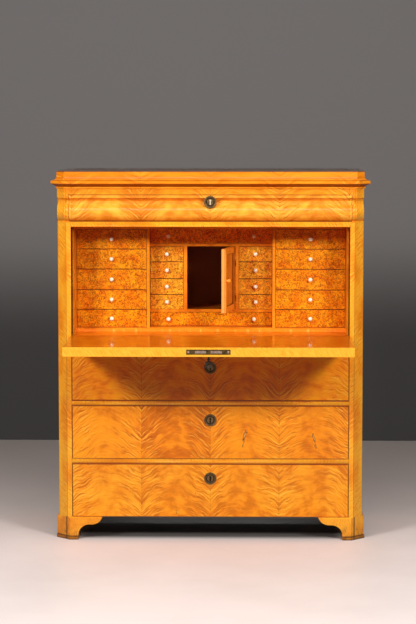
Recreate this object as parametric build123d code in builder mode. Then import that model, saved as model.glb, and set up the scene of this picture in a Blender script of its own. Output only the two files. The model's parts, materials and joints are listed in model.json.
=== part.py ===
from build123d import *
import os
from math import cos, radians, sin, sqrt

os.makedirs("parts", exist_ok=True)

# Fall front secretaire in millimetres. X runs to the right, Y from front to back, Z up.
# The origin lies on the floor, midway across the case and midway between the back and the
# front edge of the open fall. The fall lies open and the little door stands ajar.

# Carcass
case_width = 1160
case_depth = 500
side_thickness = 26
back_thickness = 12
back_board_count = 6
top_thickness = 24
dust_thickness = 12
guide_height = 30
post_depth = 60
post_strip = 18
head_strip = 11
corner_cant = 34
glue_line = 0.1
overrun = 10

# Heights, stacked from the floor
foot_height = 87
bottom_bay = 204
middle_bay = 204
top_bay = 181
drawer_rail_height = 20.5
deck_rail_height = 31
fall_bay = 448
head_rail_height = 20
head_bay = 103
frieze_height = 21

# Moulded head: how far each part of the profile stands out of the case's front
head_step = 14
ogee_swell = 16
ogee_under = -6
ogee_turn = 5
ogee_recess = -8
ogee_cove = 4
ogee_strip = 12
ogee_under_share = 0.03
ogee_swell_share = 0.31
ogee_turn_share = 0.56
ogee_recess_share = 0.76
ogee_cove_share = 0.85
ogee_strip_share = 0.875
rail_bead_radius = 3.5

# Cornice
bead_height = 9
bead_projection = 4.5
soffit_rise = 10
lip_height = 13
lip_projection = 23.5
lip_round = 2
cavetto_height = 13
cavetto_hollow_share = 0.3
fascia_height = 22
fascia_projection = 2
cornice_width = 45

# Feet
foot_projection = 8.5
foot_block = 75
foot_block_width = 84
foot_bevel = 5
bracket_reach = 92
bracket_thickness = 30
bracket_spring = 24
bracket_turn = 58
bracket_turn_share = 0.5
bracket_hollow_share = 0.26
base_strip_height = 10
base_strip_projection = 3

# Large drawers
drawer_gap = 1
drawer_side_gap = 1.5
front_thickness = 22
head_front_back = 26
box_side = 12
box_back = 10
box_bottom = 6
bottom_rise = 6
running_gap = 0.5
box_top_gap = 14
box_back_gap = 14
base_cover = 12

# Locks and escutcheons
lock_width = 70
lock_height = 78
head_lock_height = 60
lock_depth = 12
keyhole_drop = 55
head_keyhole_drop = 28
keyhole_radius = 4
keyhole_slot = 4.4
keyhole_length = 20
bolt_width = 20
bolt_thickness = 6
bolt_length = 32
bolt_throw = 8
bolt_clearance = 0.3
mortise_clearance = 1
rosette_radius = 22.5
rosette_rim = 1
rosette_ring = 2.2
rosette_dish = 1.4
rosette_boss = 2.6
rosette_ring_share = 0.86
rosette_dish_share = 0.6
rosette_boss_share = 0.44
rosette_sides = 24
liner_radius = 13

# Fall
fall_thickness = 34
fall_gap = 1
fall_side_gap = 2
fall_top_gap = 2
deck_gap = 1
pivot_radius = 4
pivot_clearance = 0.05
pivot_length = 12
pivot_plate_thickness = 3
pivot_plate_height = 60
pivot_plate_width = 24
strap_thickness = 4
strap_length = 90
strap_width = 20
stop_iron_width = 12
stop_iron_thickness = 6
stop_iron_inset = 20
stop_iron_reach = 44
stop_iron_root = 46
stop_gap = 0.3

# Fall lock and key
fall_lock_width = 110
fall_lock_depth = 74
fall_lock_thickness = 18
selvage_width = 160
selvage_height = 19
selvage_thickness = 3
fall_bolt_width = 40
fall_bolt_height = 9
fall_bolt_length = 44
fall_bolt_spacing = 57
fall_bolt_throw = 9
key_inset = 51
key_shank_radius = 3.2
key_collar_radius = 5.5
key_collar_height = 4
key_collar_drop = 13
key_ring_drop = 33
key_ring_outer = 13
key_ring_inner = 8
key_ring_thickness = 4
key_bit_length = 9
key_bit_width = 3
key_bit_height = 8
key_clearance = 0.4
strike_thickness = 2

# Nest of small drawers
lining_thickness = 9
lining_setback = 36
nest_setback = 165
centre_setback = 225
nest_floor = 15
nest_rail = 10.5
nest_cover = 16
bottom_long_share = 0.147
top_long_share = 0.154
column_shares = (0.187, 0.1985, 0.2105, 0.2035, 0.2005)
small_shares = (0.2335, 0.2525, 0.2665, 0.2475)
centre_half_width = 237.5
divider_thickness = 11
nest_back = 8
shelf_thickness = 5
nest_front_thickness = 12
nest_front_gap = 0.6
nest_side = 6
nest_bottom = 4
nest_running_gap = 0.5
nest_top_gap = 1.5
nest_side_gap = 1
nest_back_gap = 6
moulding_height = 9
moulding_projection = 7
knob_radius = 7.5
knob_neck = 3.2
knob_foot = 4.4
knob_length = 17
knob_belt = 2.4
knob_tip = 4
knob_sides = 12
long_knob_share = 0.7

# Door of the middle compartment
door_half_opening = 94
compartment_wall = 13
door_thickness = 17
door_gap = 1
door_latch_gap = 1.5
door_frame = 24
door_panel_recess = 4
door_angle = 80
door_knob_inset = 12
hinge_knuckle_radius = 2.5
hinge_pin_radius = 1.2
hinge_clearance = 0.05
hinge_height = 42
hinge_leaf_width = 12
hinge_leaf_thickness = 1
hinge_inset = 34
hinge_offset = 0.5
hinge_cap = 4
knuckle_gap = 0.3

# Places that follow from the sizes
half_width = case_width / 2
half_opening = half_width - corner_cant - post_strip
head_half_opening = half_width - corner_cant - head_strip
inner_half_width = half_width - side_thickness
cant_edge = half_width - corner_cant

middle_rail_z = foot_height + bottom_bay
middle_bay_z = middle_rail_z + drawer_rail_height
top_rail_z = middle_bay_z + middle_bay
top_bay_z = top_rail_z + drawer_rail_height
deck_rail_z = top_bay_z + top_bay
deck_rail_top = deck_rail_z + deck_rail_height
writing_z = deck_rail_top + fall_gap + fall_thickness
fall_top_z = deck_rail_top + fall_bay
head_z = fall_top_z + head_rail_height
frieze_z = head_z + head_bay
cornice_z = frieze_z + frieze_height
case_top = (
    cornice_z + bead_height + soffit_rise + lip_height + cavetto_height + fascia_height
)

pivot_depth = fall_thickness / 2
pivot_z = deck_rail_top + fall_gap + fall_thickness / 2
fall_length = fall_top_z - fall_top_gap - pivot_z
fall_reach = fall_length - pivot_depth
fall_half_width = half_opening - fall_side_gap

front_y = (fall_reach - case_depth) / 2
back_y = front_y + case_depth
back_board_y = back_y - back_thickness
pivot_y = front_y + pivot_depth
fall_edge_y = front_y - fall_reach
deck_y = front_y + fall_thickness + deck_gap

nest_z = writing_z + nest_floor
nest_top_z = fall_top_z - nest_cover
nest_height = nest_top_z - nest_z
column_levels = [
    nest_z + nest_height * sum(column_shares[:row]) for row in range(len(column_shares) + 1)
]
bottom_long_top = nest_z + bottom_long_share * nest_height
small_z = bottom_long_top + nest_rail
long_top_z = nest_top_z - top_long_share * nest_height
small_top_z = long_top_z - nest_rail
small_levels = [
    small_z + (small_top_z - small_z) * sum(small_shares[:row])
    for row in range(len(small_shares) + 1)
]
nest_back_y = back_board_y - nest_back
nest_y = front_y + nest_setback
centre_y = front_y + centre_setback
lining_half_width = half_opening - lining_thickness
column_inner = centre_half_width + divider_thickness
wall_outer = door_half_opening + compartment_wall

cant_normals = {side: Vector(side, -1, 0).normalized() for side in (-1, 1)}
side_names = {-1: "left", 1: "right"}


def board(xs, ys, zs, mode=Mode.ADD):
    """A straight board between two places on each axis."""
    with Locations(((xs[0] + xs[1]) / 2, (ys[0] + ys[1]) / 2, (zs[0] + zs[1]) / 2)):
        Box(abs(xs[1] - xs[0]), abs(ys[1] - ys[0]), abs(zs[1] - zs[0]), mode=mode)


def inside(low, high, margin=glue_line):
    """A stretch drawn in by the glue line at both ends."""
    return (low + margin, high - margin)


def cant_plane(side, offset=0):
    """The plane whose local x points straight out of a canted corner and local y up."""
    normal = cant_normals[side]
    foot = Vector(side * cant_edge, front_y, 0) + normal * offset
    return Plane(origin=foot, x_dir=normal, z_dir=normal.cross(Vector(0, 0, 1)))


def front_plane(offset=0):
    """The plane across the case whose local x points to the front and local y up."""
    return Plane(origin=(0, front_y - offset, 0), x_dir=(0, -1, 0), z_dir=(-1, 0, 0))


def side_plane(side):
    """The plane along the case whose local x points out of a side and local y up."""
    return Plane(origin=(side * half_width, 0, 0), x_dir=(side, 0, 0), z_dir=(0, -side, 0))


def head_outline(reach, top, step):
    """The head's profile: it rounds under, swells, sinks to a cove and ends in a strip."""
    turn = (ogee_turn, head_z + ogee_turn_share * head_bay)
    recess = (ogee_recess, head_z + ogee_recess_share * head_bay)
    swell = (ogee_swell, head_z + ogee_swell_share * head_bay)
    cove = (ogee_cove, head_z + ogee_cove_share * head_bay)
    strip = (ogee_strip, head_z + ogee_strip_share * head_bay)
    under = (ogee_under, head_z + ogee_under_share * head_bay)
    with BuildSketch() as outline:
        with BuildLine():
            Polyline((-reach, head_z), (ogee_under, head_z), under)
            rounding = ThreePointArc(under, swell, turn)
            TangentArc(turn, recess, tangent=rounding % 1)
            ThreePointArc(recess, cove, strip)
            Polyline(strip, (step, frieze_z), (step, top), (-reach, top), (-reach, head_z))
        make_face()
    return outline.sketch


def cornice_outline(reach):
    """The cornice's profile: bead, hollow soffit, lip, cavetto and fascia."""
    bead_top = cornice_z + bead_height
    lip_low = bead_top + soffit_rise
    lip_high = lip_low + lip_height
    fascia_low = lip_high + cavetto_height
    lip_inner = lip_projection - lip_round
    hollow = lip_inner - (lip_inner - fascia_projection) * (1 - cavetto_hollow_share)
    with BuildSketch() as outline:
        with BuildLine():
            Line((-reach, cornice_z), (0, cornice_z))
            ThreePointArc(
                (0, cornice_z),
                (bead_projection, cornice_z + bead_height / 2),
                (0, bead_top),
            )
            Polyline(
                (0, bead_top),
                (lip_inner, lip_low),
                (lip_projection, lip_low + lip_round),
                (lip_projection, lip_high - lip_round),
                (lip_inner, lip_high),
            )
            ThreePointArc(
                (lip_inner, lip_high),
                (hollow, lip_high + cavetto_hollow_share * cavetto_height),
                (fascia_projection, fascia_low),
            )
            Polyline(
                (fascia_projection, fascia_low),
                (fascia_projection, case_top),
                (-reach, case_top),
                (-reach, cornice_z),
            )
        make_face()
    return outline.sketch


def keyhole(x, y, z, depth, mode=Mode.SUBTRACT):
    """A keyhole cut from y towards the back: a round hole with a slot below it."""
    with BuildSketch(Plane(origin=(x, y, z), x_dir=(1, 0, 0), z_dir=(0, -1, 0))) as hole:
        Circle(keyhole_radius)
        with Locations((0, -keyhole_length / 2)):
            Rectangle(keyhole_slot, keyhole_length - keyhole_radius)
    extrude(hole.sketch, amount=-depth, mode=mode)


def turned(rings, sides):
    """A turned piece along Z with flat facets, given as its radius at each height."""
    outline = [(radius, height) for height, radius in rings]
    outline += [(-radius, height) for height, radius in reversed(rings)]
    reach = max(radius for height, radius in rings)
    with BuildPart() as piece:
        for number in range(sides // 2):
            turn = 360 * number / sides
            with BuildSketch(Plane.XZ.rotated((0, 0, turn))) as facets:
                with BuildLine():
                    Polyline(*outline, close=True)
                make_face()
            mode = Mode.INTERSECT if number else Mode.ADD
            extrude(facets.sketch, amount=2 * reach, both=True, mode=mode)
    return piece.part


# Knob, along Z from the front it stands on
knob_ball = knob_length - knob_radius
knob_shape = turned(
    (
        (glue_line, knob_foot),
        (knob_ball - sqrt(knob_radius**2 - knob_neck**2), knob_neck),
        (knob_ball - knob_belt, knob_radius),
        (knob_ball + knob_belt, knob_radius),
        (knob_length, knob_tip),
    ),
    knob_sides,
)

# Round escutcheon, along Z from the face it lies on: rim, raised ring, dished band, boss
dish_radius = rosette_radius * rosette_dish_share
ring_radius = rosette_radius * rosette_ring_share
boss_radius = rosette_radius * rosette_boss_share
with BuildPart() as rosette:
    add(
        turned(
            (
                (glue_line, rosette_radius),
                (rosette_rim, rosette_radius),
                (rosette_ring, ring_radius),
            ),
            rosette_sides,
        )
    )
    add(
        turned(((rosette_dish, dish_radius), (rosette_ring, ring_radius)), rosette_sides),
        mode=Mode.SUBTRACT,
    )
    add(turned(((glue_line, boss_radius), (rosette_boss, boss_radius)), rosette_sides))


def place(shape, x, y, z, direction=(0, -1, 0)):
    """Add a turned piece that stands out from a point."""
    add(shape.moved(Plane(origin=(x, y, z), z_dir=direction).location))


# Side panels
for side, side_name in side_names.items():
    with BuildPart() as side_panel:
        board(
            (side * inner_half_width, side * half_width),
            (front_y + post_depth + glue_line, back_y),
            inside(foot_height, cornice_z),
        )
    side_panel.part.label = f"{side_name}_side_panel"
    export_step(side_panel.part, f"parts/{side_name}_side_panel.step")

# Corner posts: the head's profile runs along the front and returns along the cant
for side, side_name in side_names.items():
    with BuildPart() as corner_post:
        with BuildSketch(front_plane()):
            add(head_outline(case_depth, cornice_z - glue_line, head_step))
        extrude(amount=case_width, both=True)
        with BuildSketch(cant_plane(side)):
            add(head_outline(case_width, cornice_z - glue_line, head_step))
        extrude(amount=case_width, both=True, mode=Mode.INTERSECT)
        board(
            (side * head_half_opening, side * half_width),
            (front_y - case_depth, front_y + post_depth),
            (head_z, cornice_z),
            mode=Mode.INTERSECT,
        )
        with BuildSketch(Plane.XY.offset(foot_height + glue_line)):
            with BuildLine():
                Polyline(
                    (side * half_opening, front_y),
                    (side * cant_edge, front_y),
                    (side * half_width, front_y + corner_cant),
                    (side * half_width, front_y + post_depth),
                    (side * half_opening, front_y + post_depth),
                    close=True,
                )
            make_face()
        extrude(amount=head_z - foot_height - glue_line)
        # seat of the pivot plate, and room for the pin behind it
        board(
            (side * (half_opening - overrun), side * (half_opening + pivot_plate_thickness)),
            (pivot_y - pivot_plate_width / 2, pivot_y + pivot_plate_width / 2),
            (pivot_z - pivot_plate_height / 2, pivot_z + pivot_plate_height / 2),
            mode=Mode.SUBTRACT,
        )
        with BuildSketch(Plane(origin=(side * half_opening, pivot_y, pivot_z), z_dir=(side, 0, 0))):
            Circle(pivot_radius + mortise_clearance)
        extrude(amount=pivot_length + mortise_clearance, mode=Mode.SUBTRACT)
    corner_post.part.label = f"{side_name}_corner_post"
    export_step(corner_post.part, f"parts/{side_name}_corner_post.step")

# Cornice: the profile along the front, both cants and both sides, mitred where they meet
with BuildPart() as cornice:
    with BuildSketch(front_plane(head_step)):
        add(cornice_outline(case_depth))
    extrude(amount=case_width, both=True)
    for side in side_names:
        with BuildSketch(cant_plane(side, head_step)):
            add(cornice_outline(case_width + case_depth))
        extrude(amount=case_width + case_depth, both=True, mode=Mode.INTERSECT)
        with BuildSketch(side_plane(side)):
            add(cornice_outline(case_width + case_depth))
        extrude(amount=case_width + case_depth, both=True, mode=Mode.INTERSECT)
    board(
        (-case_width, case_width),
        (front_y - case_depth, back_y),
        (cornice_z, case_top),
        mode=Mode.INTERSECT,
    )
    board(
        (cornice_width - half_width, half_width - cornice_width),
        (front_y + cornice_width, back_y + overrun),
        (cornice_z - overrun, case_top + overrun),
        mode=Mode.SUBTRACT,
    )
cornice.part.label = "cornice"
export_step(cornice.part, "parts/cornice.step")

# Top board, flush with the top of the cornice that frames it
with BuildPart() as top_board:
    board(
        inside(cornice_width - half_width, half_width - cornice_width),
        inside(front_y + cornice_width, back_y),
        (case_top - top_thickness, case_top),
    )
top_board.part.label = "top_board"
export_step(top_board.part, "parts/top_board.step")

# Frieze rail over the head drawer, with a mortise for the lock's bolt
head_bolt_y = front_y + head_front_back + glue_line + lock_depth / 2
with BuildPart() as frieze_rail:
    board(
        inside(-head_half_opening, head_half_opening),
        (front_y - head_step, front_y + post_depth),
        (frieze_z, cornice_z - glue_line),
    )
    board(
        (-bolt_width / 2 - mortise_clearance, bolt_width / 2 + mortise_clearance),
        (
            head_bolt_y - bolt_thickness / 2 - mortise_clearance,
            head_bolt_y + bolt_thickness / 2 + mortise_clearance,
        ),
        (frieze_z - overrun, frieze_z + bolt_throw + mortise_clearance),
        mode=Mode.SUBTRACT,
    )
frieze_rail.part.label = "frieze_rail"
export_step(frieze_rail.part, "parts/frieze_rail.step")

# Case rails between the posts: head rail, deck rail and two drawer rails
drawer_bolt_y = front_y + front_thickness + glue_line + lock_depth / 2
iron_x = fall_half_width - stop_iron_inset
iron_slot_radius = stop_iron_reach + stop_iron_thickness
iron_slot_y = pivot_y - stop_iron_thickness / 2 - mortise_clearance
strike_half = selvage_width / 2
with BuildPart() as case_rails:
    for low, height in (
        (middle_rail_z, drawer_rail_height),
        (top_rail_z, drawer_rail_height),
        (deck_rail_z, deck_rail_height),
    ):
        board(
            inside(-half_opening, half_opening),
            (front_y, front_y + post_depth),
            (low, low + height),
        )
        board(
            (-bolt_width / 2 - mortise_clearance, bolt_width / 2 + mortise_clearance),
            (
                drawer_bolt_y - bolt_thickness / 2 - mortise_clearance,
                drawer_bolt_y + bolt_thickness / 2 + mortise_clearance,
            ),
            (low - overrun, low + bolt_throw + mortise_clearance),
            mode=Mode.SUBTRACT,
        )
    # slots in which the fall's stop irons swing
    for side in side_names:
        with BuildSketch(Plane.YZ.offset(side * iron_x)):
            with Locations((pivot_y, pivot_z)):
                Circle(iron_slot_radius)
            with Locations((iron_slot_y, pivot_z)):
                Rectangle(
                    case_depth,
                    case_depth,
                    align=(Align.MIN, Align.CENTER),
                    mode=Mode.INTERSECT,
                )
        extrude(
            amount=stop_iron_width / 2 + mortise_clearance, both=True, mode=Mode.SUBTRACT
        )
    board(
        inside(-half_opening, half_opening),
        (front_y, front_y + post_depth),
        (fall_top_z, head_z),
    )
    # seat of the strike plate and the two mortises over it
    board(
        (-strike_half, strike_half),
        (pivot_y - selvage_height / 2, pivot_y + selvage_height / 2),
        (fall_top_z - overrun, fall_top_z + strike_thickness),
        mode=Mode.SUBTRACT,
    )
    for middle in (-fall_bolt_spacing / 2, fall_bolt_spacing / 2):
        board(
            (
                middle - fall_bolt_width / 2 - mortise_clearance,
                middle + fall_bolt_width / 2 + mortise_clearance,
            ),
            (
                pivot_y - fall_bolt_height / 2 - mortise_clearance,
                pivot_y + fall_bolt_height / 2 + mortise_clearance,
            ),
            (fall_top_z - overrun, fall_top_z + fall_bolt_throw + mortise_clearance),
            mode=Mode.SUBTRACT,
        )
    # bead along the lower edge of the head rail
    with BuildSketch(front_plane()):
        with Locations((0, fall_top_z + rail_bead_radius)):
            Circle(rail_bead_radius)
    extrude(amount=half_opening - glue_line, both=True)
case_rails.part.label = "case_rails"
export_step(case_rails.part, "parts/case_rails.step")

# Dust boards, their tops level with the rails in front of them, and the base board, whose
# front strip lies behind the foot of the bottom drawer's front
with BuildPart() as dust_boards:
    board(
        inside(-inner_half_width, inner_half_width),
        (front_y + post_depth + glue_line, back_board_y - glue_line),
        (foot_height + glue_line, foot_height + base_cover),
    )
    board(
        inside(-half_opening, half_opening),
        (front_y + front_thickness + drawer_gap, front_y + post_depth),
        (foot_height + glue_line, foot_height + base_cover),
    )
    for level in (middle_bay_z, top_bay_z, head_z):
        board(
            inside(-inner_half_width, inner_half_width),
            (front_y + post_depth + glue_line, back_board_y - glue_line),
            (level - dust_thickness, level),
        )
dust_boards.part.label = "dust_boards"
export_step(dust_boards.part, "parts/dust_boards.step")

# Guides that keep each large drawer straight
drawer_half_width = half_opening - drawer_side_gap
box_half_width = drawer_half_width - drawer_gap
with BuildPart() as drawer_guides:
    for level in (foot_height + base_cover, middle_bay_z, top_bay_z, head_z):
        for side in side_names:
            board(
                (
                    side * (box_half_width + drawer_gap),
                    side * (inner_half_width - glue_line),
                ),
                (front_y + post_depth + glue_line, back_board_y - glue_line),
                (level + glue_line, level + guide_height),
            )
drawer_guides.part.label = "drawer_guides"
export_step(drawer_guides.part, "parts/drawer_guides.step")

# Writing deck, with slots underneath for the stop irons
with BuildPart() as writing_deck:
    board(
        inside(-half_opening, half_opening),
        (deck_y, front_y + post_depth),
        (deck_rail_top + glue_line, writing_z),
    )
    board(
        inside(-inner_half_width, inner_half_width),
        (front_y + post_depth, back_board_y - glue_line),
        (deck_rail_top + glue_line, writing_z),
    )
    for side in side_names:
        board(
            (
                side * iron_x - stop_iron_width / 2 - mortise_clearance,
                side * iron_x + stop_iron_width / 2 + mortise_clearance,
            ),
            (front_y, pivot_y + iron_slot_radius),
            (deck_rail_top - overrun, pivot_z + stop_iron_thickness / 2 + stop_gap),
            mode=Mode.SUBTRACT,
        )
writing_deck.part.label = "writing_deck"
export_step(writing_deck.part, "parts/writing_deck.step")

# Back boards, upright and side by side
back_board_width = 2 * inner_half_width / back_board_count
with BuildPart() as back_boards:
    for number in range(back_board_count):
        start = number * back_board_width - inner_half_width
        board(
            inside(start, start + back_board_width),
            (back_board_y, back_y),
            inside(foot_height, case_top - top_thickness),
        )
back_boards.part.label = "back_boards"
export_step(back_boards.part, "parts/back_boards.step")


def foot_block_points(side, out, cant_out):
    """The plan of a front foot's corner block, drawn out past the case and the cant."""
    shift = cant_out * sqrt(2)
    inner = half_width + foot_projection - foot_block_width
    return (
        (side * inner, front_y - out),
        (side * (cant_edge - out + shift), front_y - out),
        (side * (half_width + out), front_y + corner_cant + out - shift),
        (side * (half_width + out), front_y + foot_block),
        (side * inner, front_y + foot_block),
    )


def bracket_cut(plane, reach):
    """The scroll cut from a bracket: a hollow that springs up and turns into a lobe."""
    turn = (bracket_reach * bracket_turn_share, bracket_turn)
    hollow = (turn[0] * bracket_hollow_share, bracket_turn - turn[0] * bracket_hollow_share)
    with BuildSketch(plane) as scroll:
        with BuildLine():
            Line((0, -overrun), (0, bracket_spring))
            rise = ThreePointArc((0, bracket_spring), hollow, turn)
            TangentArc(turn, (bracket_reach, foot_height), tangent=rise % 1)
            Polyline(
                (bracket_reach, foot_height),
                (bracket_reach + overrun, foot_height),
                (bracket_reach + overrun, -overrun),
                (0, -overrun),
            )
        make_face()
    extrude(scroll.sketch, amount=reach, both=True, mode=Mode.SUBTRACT)


block_inner = half_width + foot_projection - foot_block_width
wing_inner = half_width + foot_projection - bracket_thickness
foot_top = foot_height - glue_line

# Front feet: canted corner blocks with a scrolled bracket to each side
with BuildPart() as front_feet:
    for side in side_names:
        # front wing, cut before the block joins it
        board(
            (side * (block_inner - bracket_reach), side * block_inner),
            (front_y - foot_projection, front_y - foot_projection + bracket_thickness),
            (0, foot_top),
        )
        board(
            (side * wing_inner, side * (half_width + foot_projection)),
            (front_y + foot_block, front_y + foot_block + bracket_reach),
            (0, foot_top),
        )
    for side in side_names:
        bracket_cut(
            Plane(
                origin=(side * block_inner, front_y, 0),
                x_dir=(-side, 0, 0),
                z_dir=(0, side, 0),
            ),
            bracket_thickness + overrun,
        )
        bracket_cut(
            Plane(
                origin=(side * half_width, front_y + foot_block, 0),
                x_dir=(0, 1, 0),
                z_dir=(1, 0, 0),
            ),
            bracket_thickness + overrun,
        )
    for side in side_names:
        with BuildSketch():
            with BuildLine():
                Polyline(*foot_block_points(side, foot_projection, 0), close=True)
            make_face()
        extrude(amount=foot_top)
    outer_top = (
        front_feet.edges()
        .group_by(Axis.Z)[-1]
        .filter_by(
            lambda edge: edge.center().Y < front_y - foot_projection / 2
            or abs(edge.center().X) > half_width + foot_projection / 2
        )
    )
    chamfer(outer_top, length=foot_bevel)
    for side in side_names:
        with BuildSketch():
            with BuildLine():
                Polyline(
                    *foot_block_points(
                        side, foot_projection + base_strip_projection, base_strip_projection
                    ),
                    close=True,
                )
            make_face()
        extrude(amount=base_strip_height)
front_feet.part.label = "front_feet"
export_step(front_feet.part, "parts/front_feet.step")

# Rear feet: plain blocks, each with a bracket along the side
with BuildPart() as rear_feet:
    for side in side_names:
        board(
            (side * wing_inner, side * (half_width + foot_projection)),
            (back_y - foot_block - bracket_reach, back_y - foot_block),
            (0, foot_top),
        )
    for side in side_names:
        bracket_cut(
            Plane(
                origin=(side * half_width, back_y - foot_block, 0),
                x_dir=(0, -1, 0),
                z_dir=(-1, 0, 0),
            ),
            bracket_thickness + overrun,
        )
    for side in side_names:
        board(
            (side * block_inner, side * (half_width + foot_projection)),
            (back_y - foot_block, back_y),
            (0, foot_top),
        )
    side_top = (
        rear_feet.edges()
        .group_by(Axis.Z)[-1]
        .filter_by(lambda edge: abs(edge.center().X) > half_width + foot_projection / 2)
    )
    chamfer(side_top, length=foot_bevel)
    for side in side_names:
        strip_edge = half_width + foot_projection + base_strip_projection
        board(
            (side * block_inner, side * strip_edge),
            (back_y - foot_block, back_y),
            (0, base_strip_height),
        )
rear_feet.part.label = "rear_feet"
export_step(rear_feet.part, "parts/rear_feet.step")

# Nest case: linings, floor, top and back
with BuildPart() as nest_case:
    for side in side_names:
        board(
            (side * lining_half_width, side * (half_opening - glue_line)),
            (front_y + lining_setback, nest_back_y),
            inside(writing_z, fall_top_z),
        )
    board(
        inside(-lining_half_width, lining_half_width),
        (nest_y, nest_back_y),
        (writing_z + glue_line, nest_z),
    )
    board(
        inside(-lining_half_width, lining_half_width),
        (nest_y, nest_back_y),
        (nest_top_z, fall_top_z - glue_line),
    )
    board(
        inside(-half_opening, half_opening),
        inside(nest_back_y, back_board_y),
        inside(writing_z, fall_top_z),
    )
    # bevelled moulding along the foot of the nest
    with BuildSketch(
        Plane(
            origin=(0, nest_y - glue_line, writing_z),
            x_dir=(0, -1, 0),
            z_dir=(-1, 0, 0),
        )
    ):
        with BuildLine():
            Polyline(
                (0, glue_line),
                (moulding_projection, glue_line),
                (0, moulding_height),
                close=True,
            )
        make_face()
    extrude(amount=lining_half_width - glue_line, both=True)
nest_case.part.label = "nest_case"
export_step(nest_case.part, "parts/nest_case.step")

# Nest partitions: dividers, shelves, the middle rails and the compartment's walls
shelf_y = nest_y + nest_front_thickness + nest_side_gap
small_shelf_y = centre_y + nest_front_thickness + nest_side_gap
hinge_x = door_half_opening - hinge_offset
hinge_y = centre_y - hinge_knuckle_radius
hinge_levels = (
    small_z + hinge_inset + hinge_height / 2,
    small_top_z - hinge_inset - hinge_height / 2,
)
with BuildPart() as nest_partitions:
    for side in side_names:
        board(
            (side * centre_half_width, side * column_inner),
            (nest_y, nest_back_y - glue_line),
            inside(nest_z, nest_top_z),
        )
        for level in column_levels[1:-1]:
            board(
                (
                    side * (column_inner + glue_line),
                    side * (lining_half_width - glue_line),
                ),
                (shelf_y, nest_back_y - glue_line),
                (level - shelf_thickness, level),
            )
        for level in small_levels[1:-1]:
            board(
                (side * (wall_outer + glue_line), side * (centre_half_width - glue_line)),
                (small_shelf_y, nest_back_y - glue_line),
                (level - shelf_thickness, level),
            )
        board(
            (side * door_half_opening, side * wall_outer),
            (centre_y, nest_back_y - glue_line),
            inside(small_z, small_top_z),
        )
    for low, high in ((bottom_long_top, small_z), (small_top_z, long_top_z)):
        board(
            inside(-centre_half_width, centre_half_width),
            (centre_y, nest_back_y - glue_line),
            (low, high),
        )
    # seats of the hinge leaves in the compartment's right wall
    for level in hinge_levels:
        board(
            (door_half_opening - overrun, door_half_opening + hinge_leaf_thickness),
            (centre_y - overrun, centre_y + hinge_leaf_width),
            (level - hinge_height / 2, level + hinge_height / 2),
            mode=Mode.SUBTRACT,
        )
nest_partitions.part.label = "nest_partitions"
export_step(nest_partitions.part, "parts/nest_partitions.step")

# Case fittings: pivot plates, strike plate, and the case halves of the door's hinges
hinge_half = hinge_height / 2
with BuildPart() as case_fittings:
    for side in side_names:
        board(
            (
                side * half_opening,
                side * (half_opening + pivot_plate_thickness - glue_line),
            ),
            inside(pivot_y - pivot_plate_width / 2, pivot_y + pivot_plate_width / 2),
            inside(pivot_z - pivot_plate_height / 2, pivot_z + pivot_plate_height / 2),
        )
        with BuildSketch(Plane(origin=(side * half_opening, pivot_y, pivot_z), z_dir=(side, 0, 0))):
            Circle(pivot_radius + pivot_clearance)
        extrude(amount=pivot_length, both=True, mode=Mode.SUBTRACT)
    board(
        inside(-strike_half, strike_half),
        inside(pivot_y - selvage_height / 2, pivot_y + selvage_height / 2),
        (fall_top_z, fall_top_z + strike_thickness - glue_line),
    )
    for middle in (-fall_bolt_spacing / 2, fall_bolt_spacing / 2):
        board(
            (
                middle - fall_bolt_width / 2 - mortise_clearance,
                middle + fall_bolt_width / 2 + mortise_clearance,
            ),
            (
                pivot_y - fall_bolt_height / 2 - mortise_clearance,
                pivot_y + fall_bolt_height / 2 + mortise_clearance,
            ),
            (fall_top_z - overrun, fall_top_z + strike_thickness + overrun),
            mode=Mode.SUBTRACT,
        )
    for level in hinge_levels:
        low = level - hinge_half + glue_line
        with BuildSketch(Plane(origin=(hinge_x, hinge_y, low))):
            Circle(hinge_knuckle_radius)
        extrude(amount=hinge_half - knuckle_gap)
        board(
            (door_half_opening, door_half_opening + hinge_leaf_thickness - glue_line),
            (hinge_y, centre_y + glue_line),
            (low, low + hinge_half - knuckle_gap),
        )
        board(
            (door_half_opening, door_half_opening + hinge_leaf_thickness - glue_line),
            (centre_y + glue_line, centre_y + hinge_leaf_width - glue_line),
            (low, level + hinge_half - glue_line),
        )
        with BuildSketch(Plane(origin=(hinge_x, hinge_y, low))):
            Circle(hinge_pin_radius)
        extrude(amount=hinge_height - hinge_cap)
case_fittings.part.label = "case_fittings"
export_step(case_fittings.part, "parts/case_fittings.step")


def drawer_box(half, y_front, y_back, low, high):
    """The four boards of a large drawer's box, behind its front."""
    for side in side_names:
        board(
            (side * (half - box_side), side * half),
            (y_front + glue_line, y_back),
            (low, high),
        )
    board(
        inside(box_side - half, half - box_side),
        (y_back - box_back, y_back),
        (low, high),
    )
    board(
        inside(box_side - half, half - box_side),
        (y_front + glue_line, y_back - box_back - glue_line),
        (low + bottom_rise, low + bottom_rise + box_bottom),
    )


def lock_case(y_front, top, height):
    """A lock's case behind a drawer front, with the pocket that its bolt rises from."""
    board(
        (-lock_width / 2, lock_width / 2),
        (y_front + glue_line, y_front + lock_depth),
        (top - height, top),
    )
    middle = y_front + glue_line + lock_depth / 2
    board(
        (-bolt_width / 2 - bolt_clearance, bolt_width / 2 + bolt_clearance),
        (
            middle - bolt_thickness / 2 - bolt_clearance,
            middle + bolt_thickness / 2 + bolt_clearance,
        ),
        (top - bolt_length - bolt_clearance, top + overrun),
        mode=Mode.SUBTRACT,
    )


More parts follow.
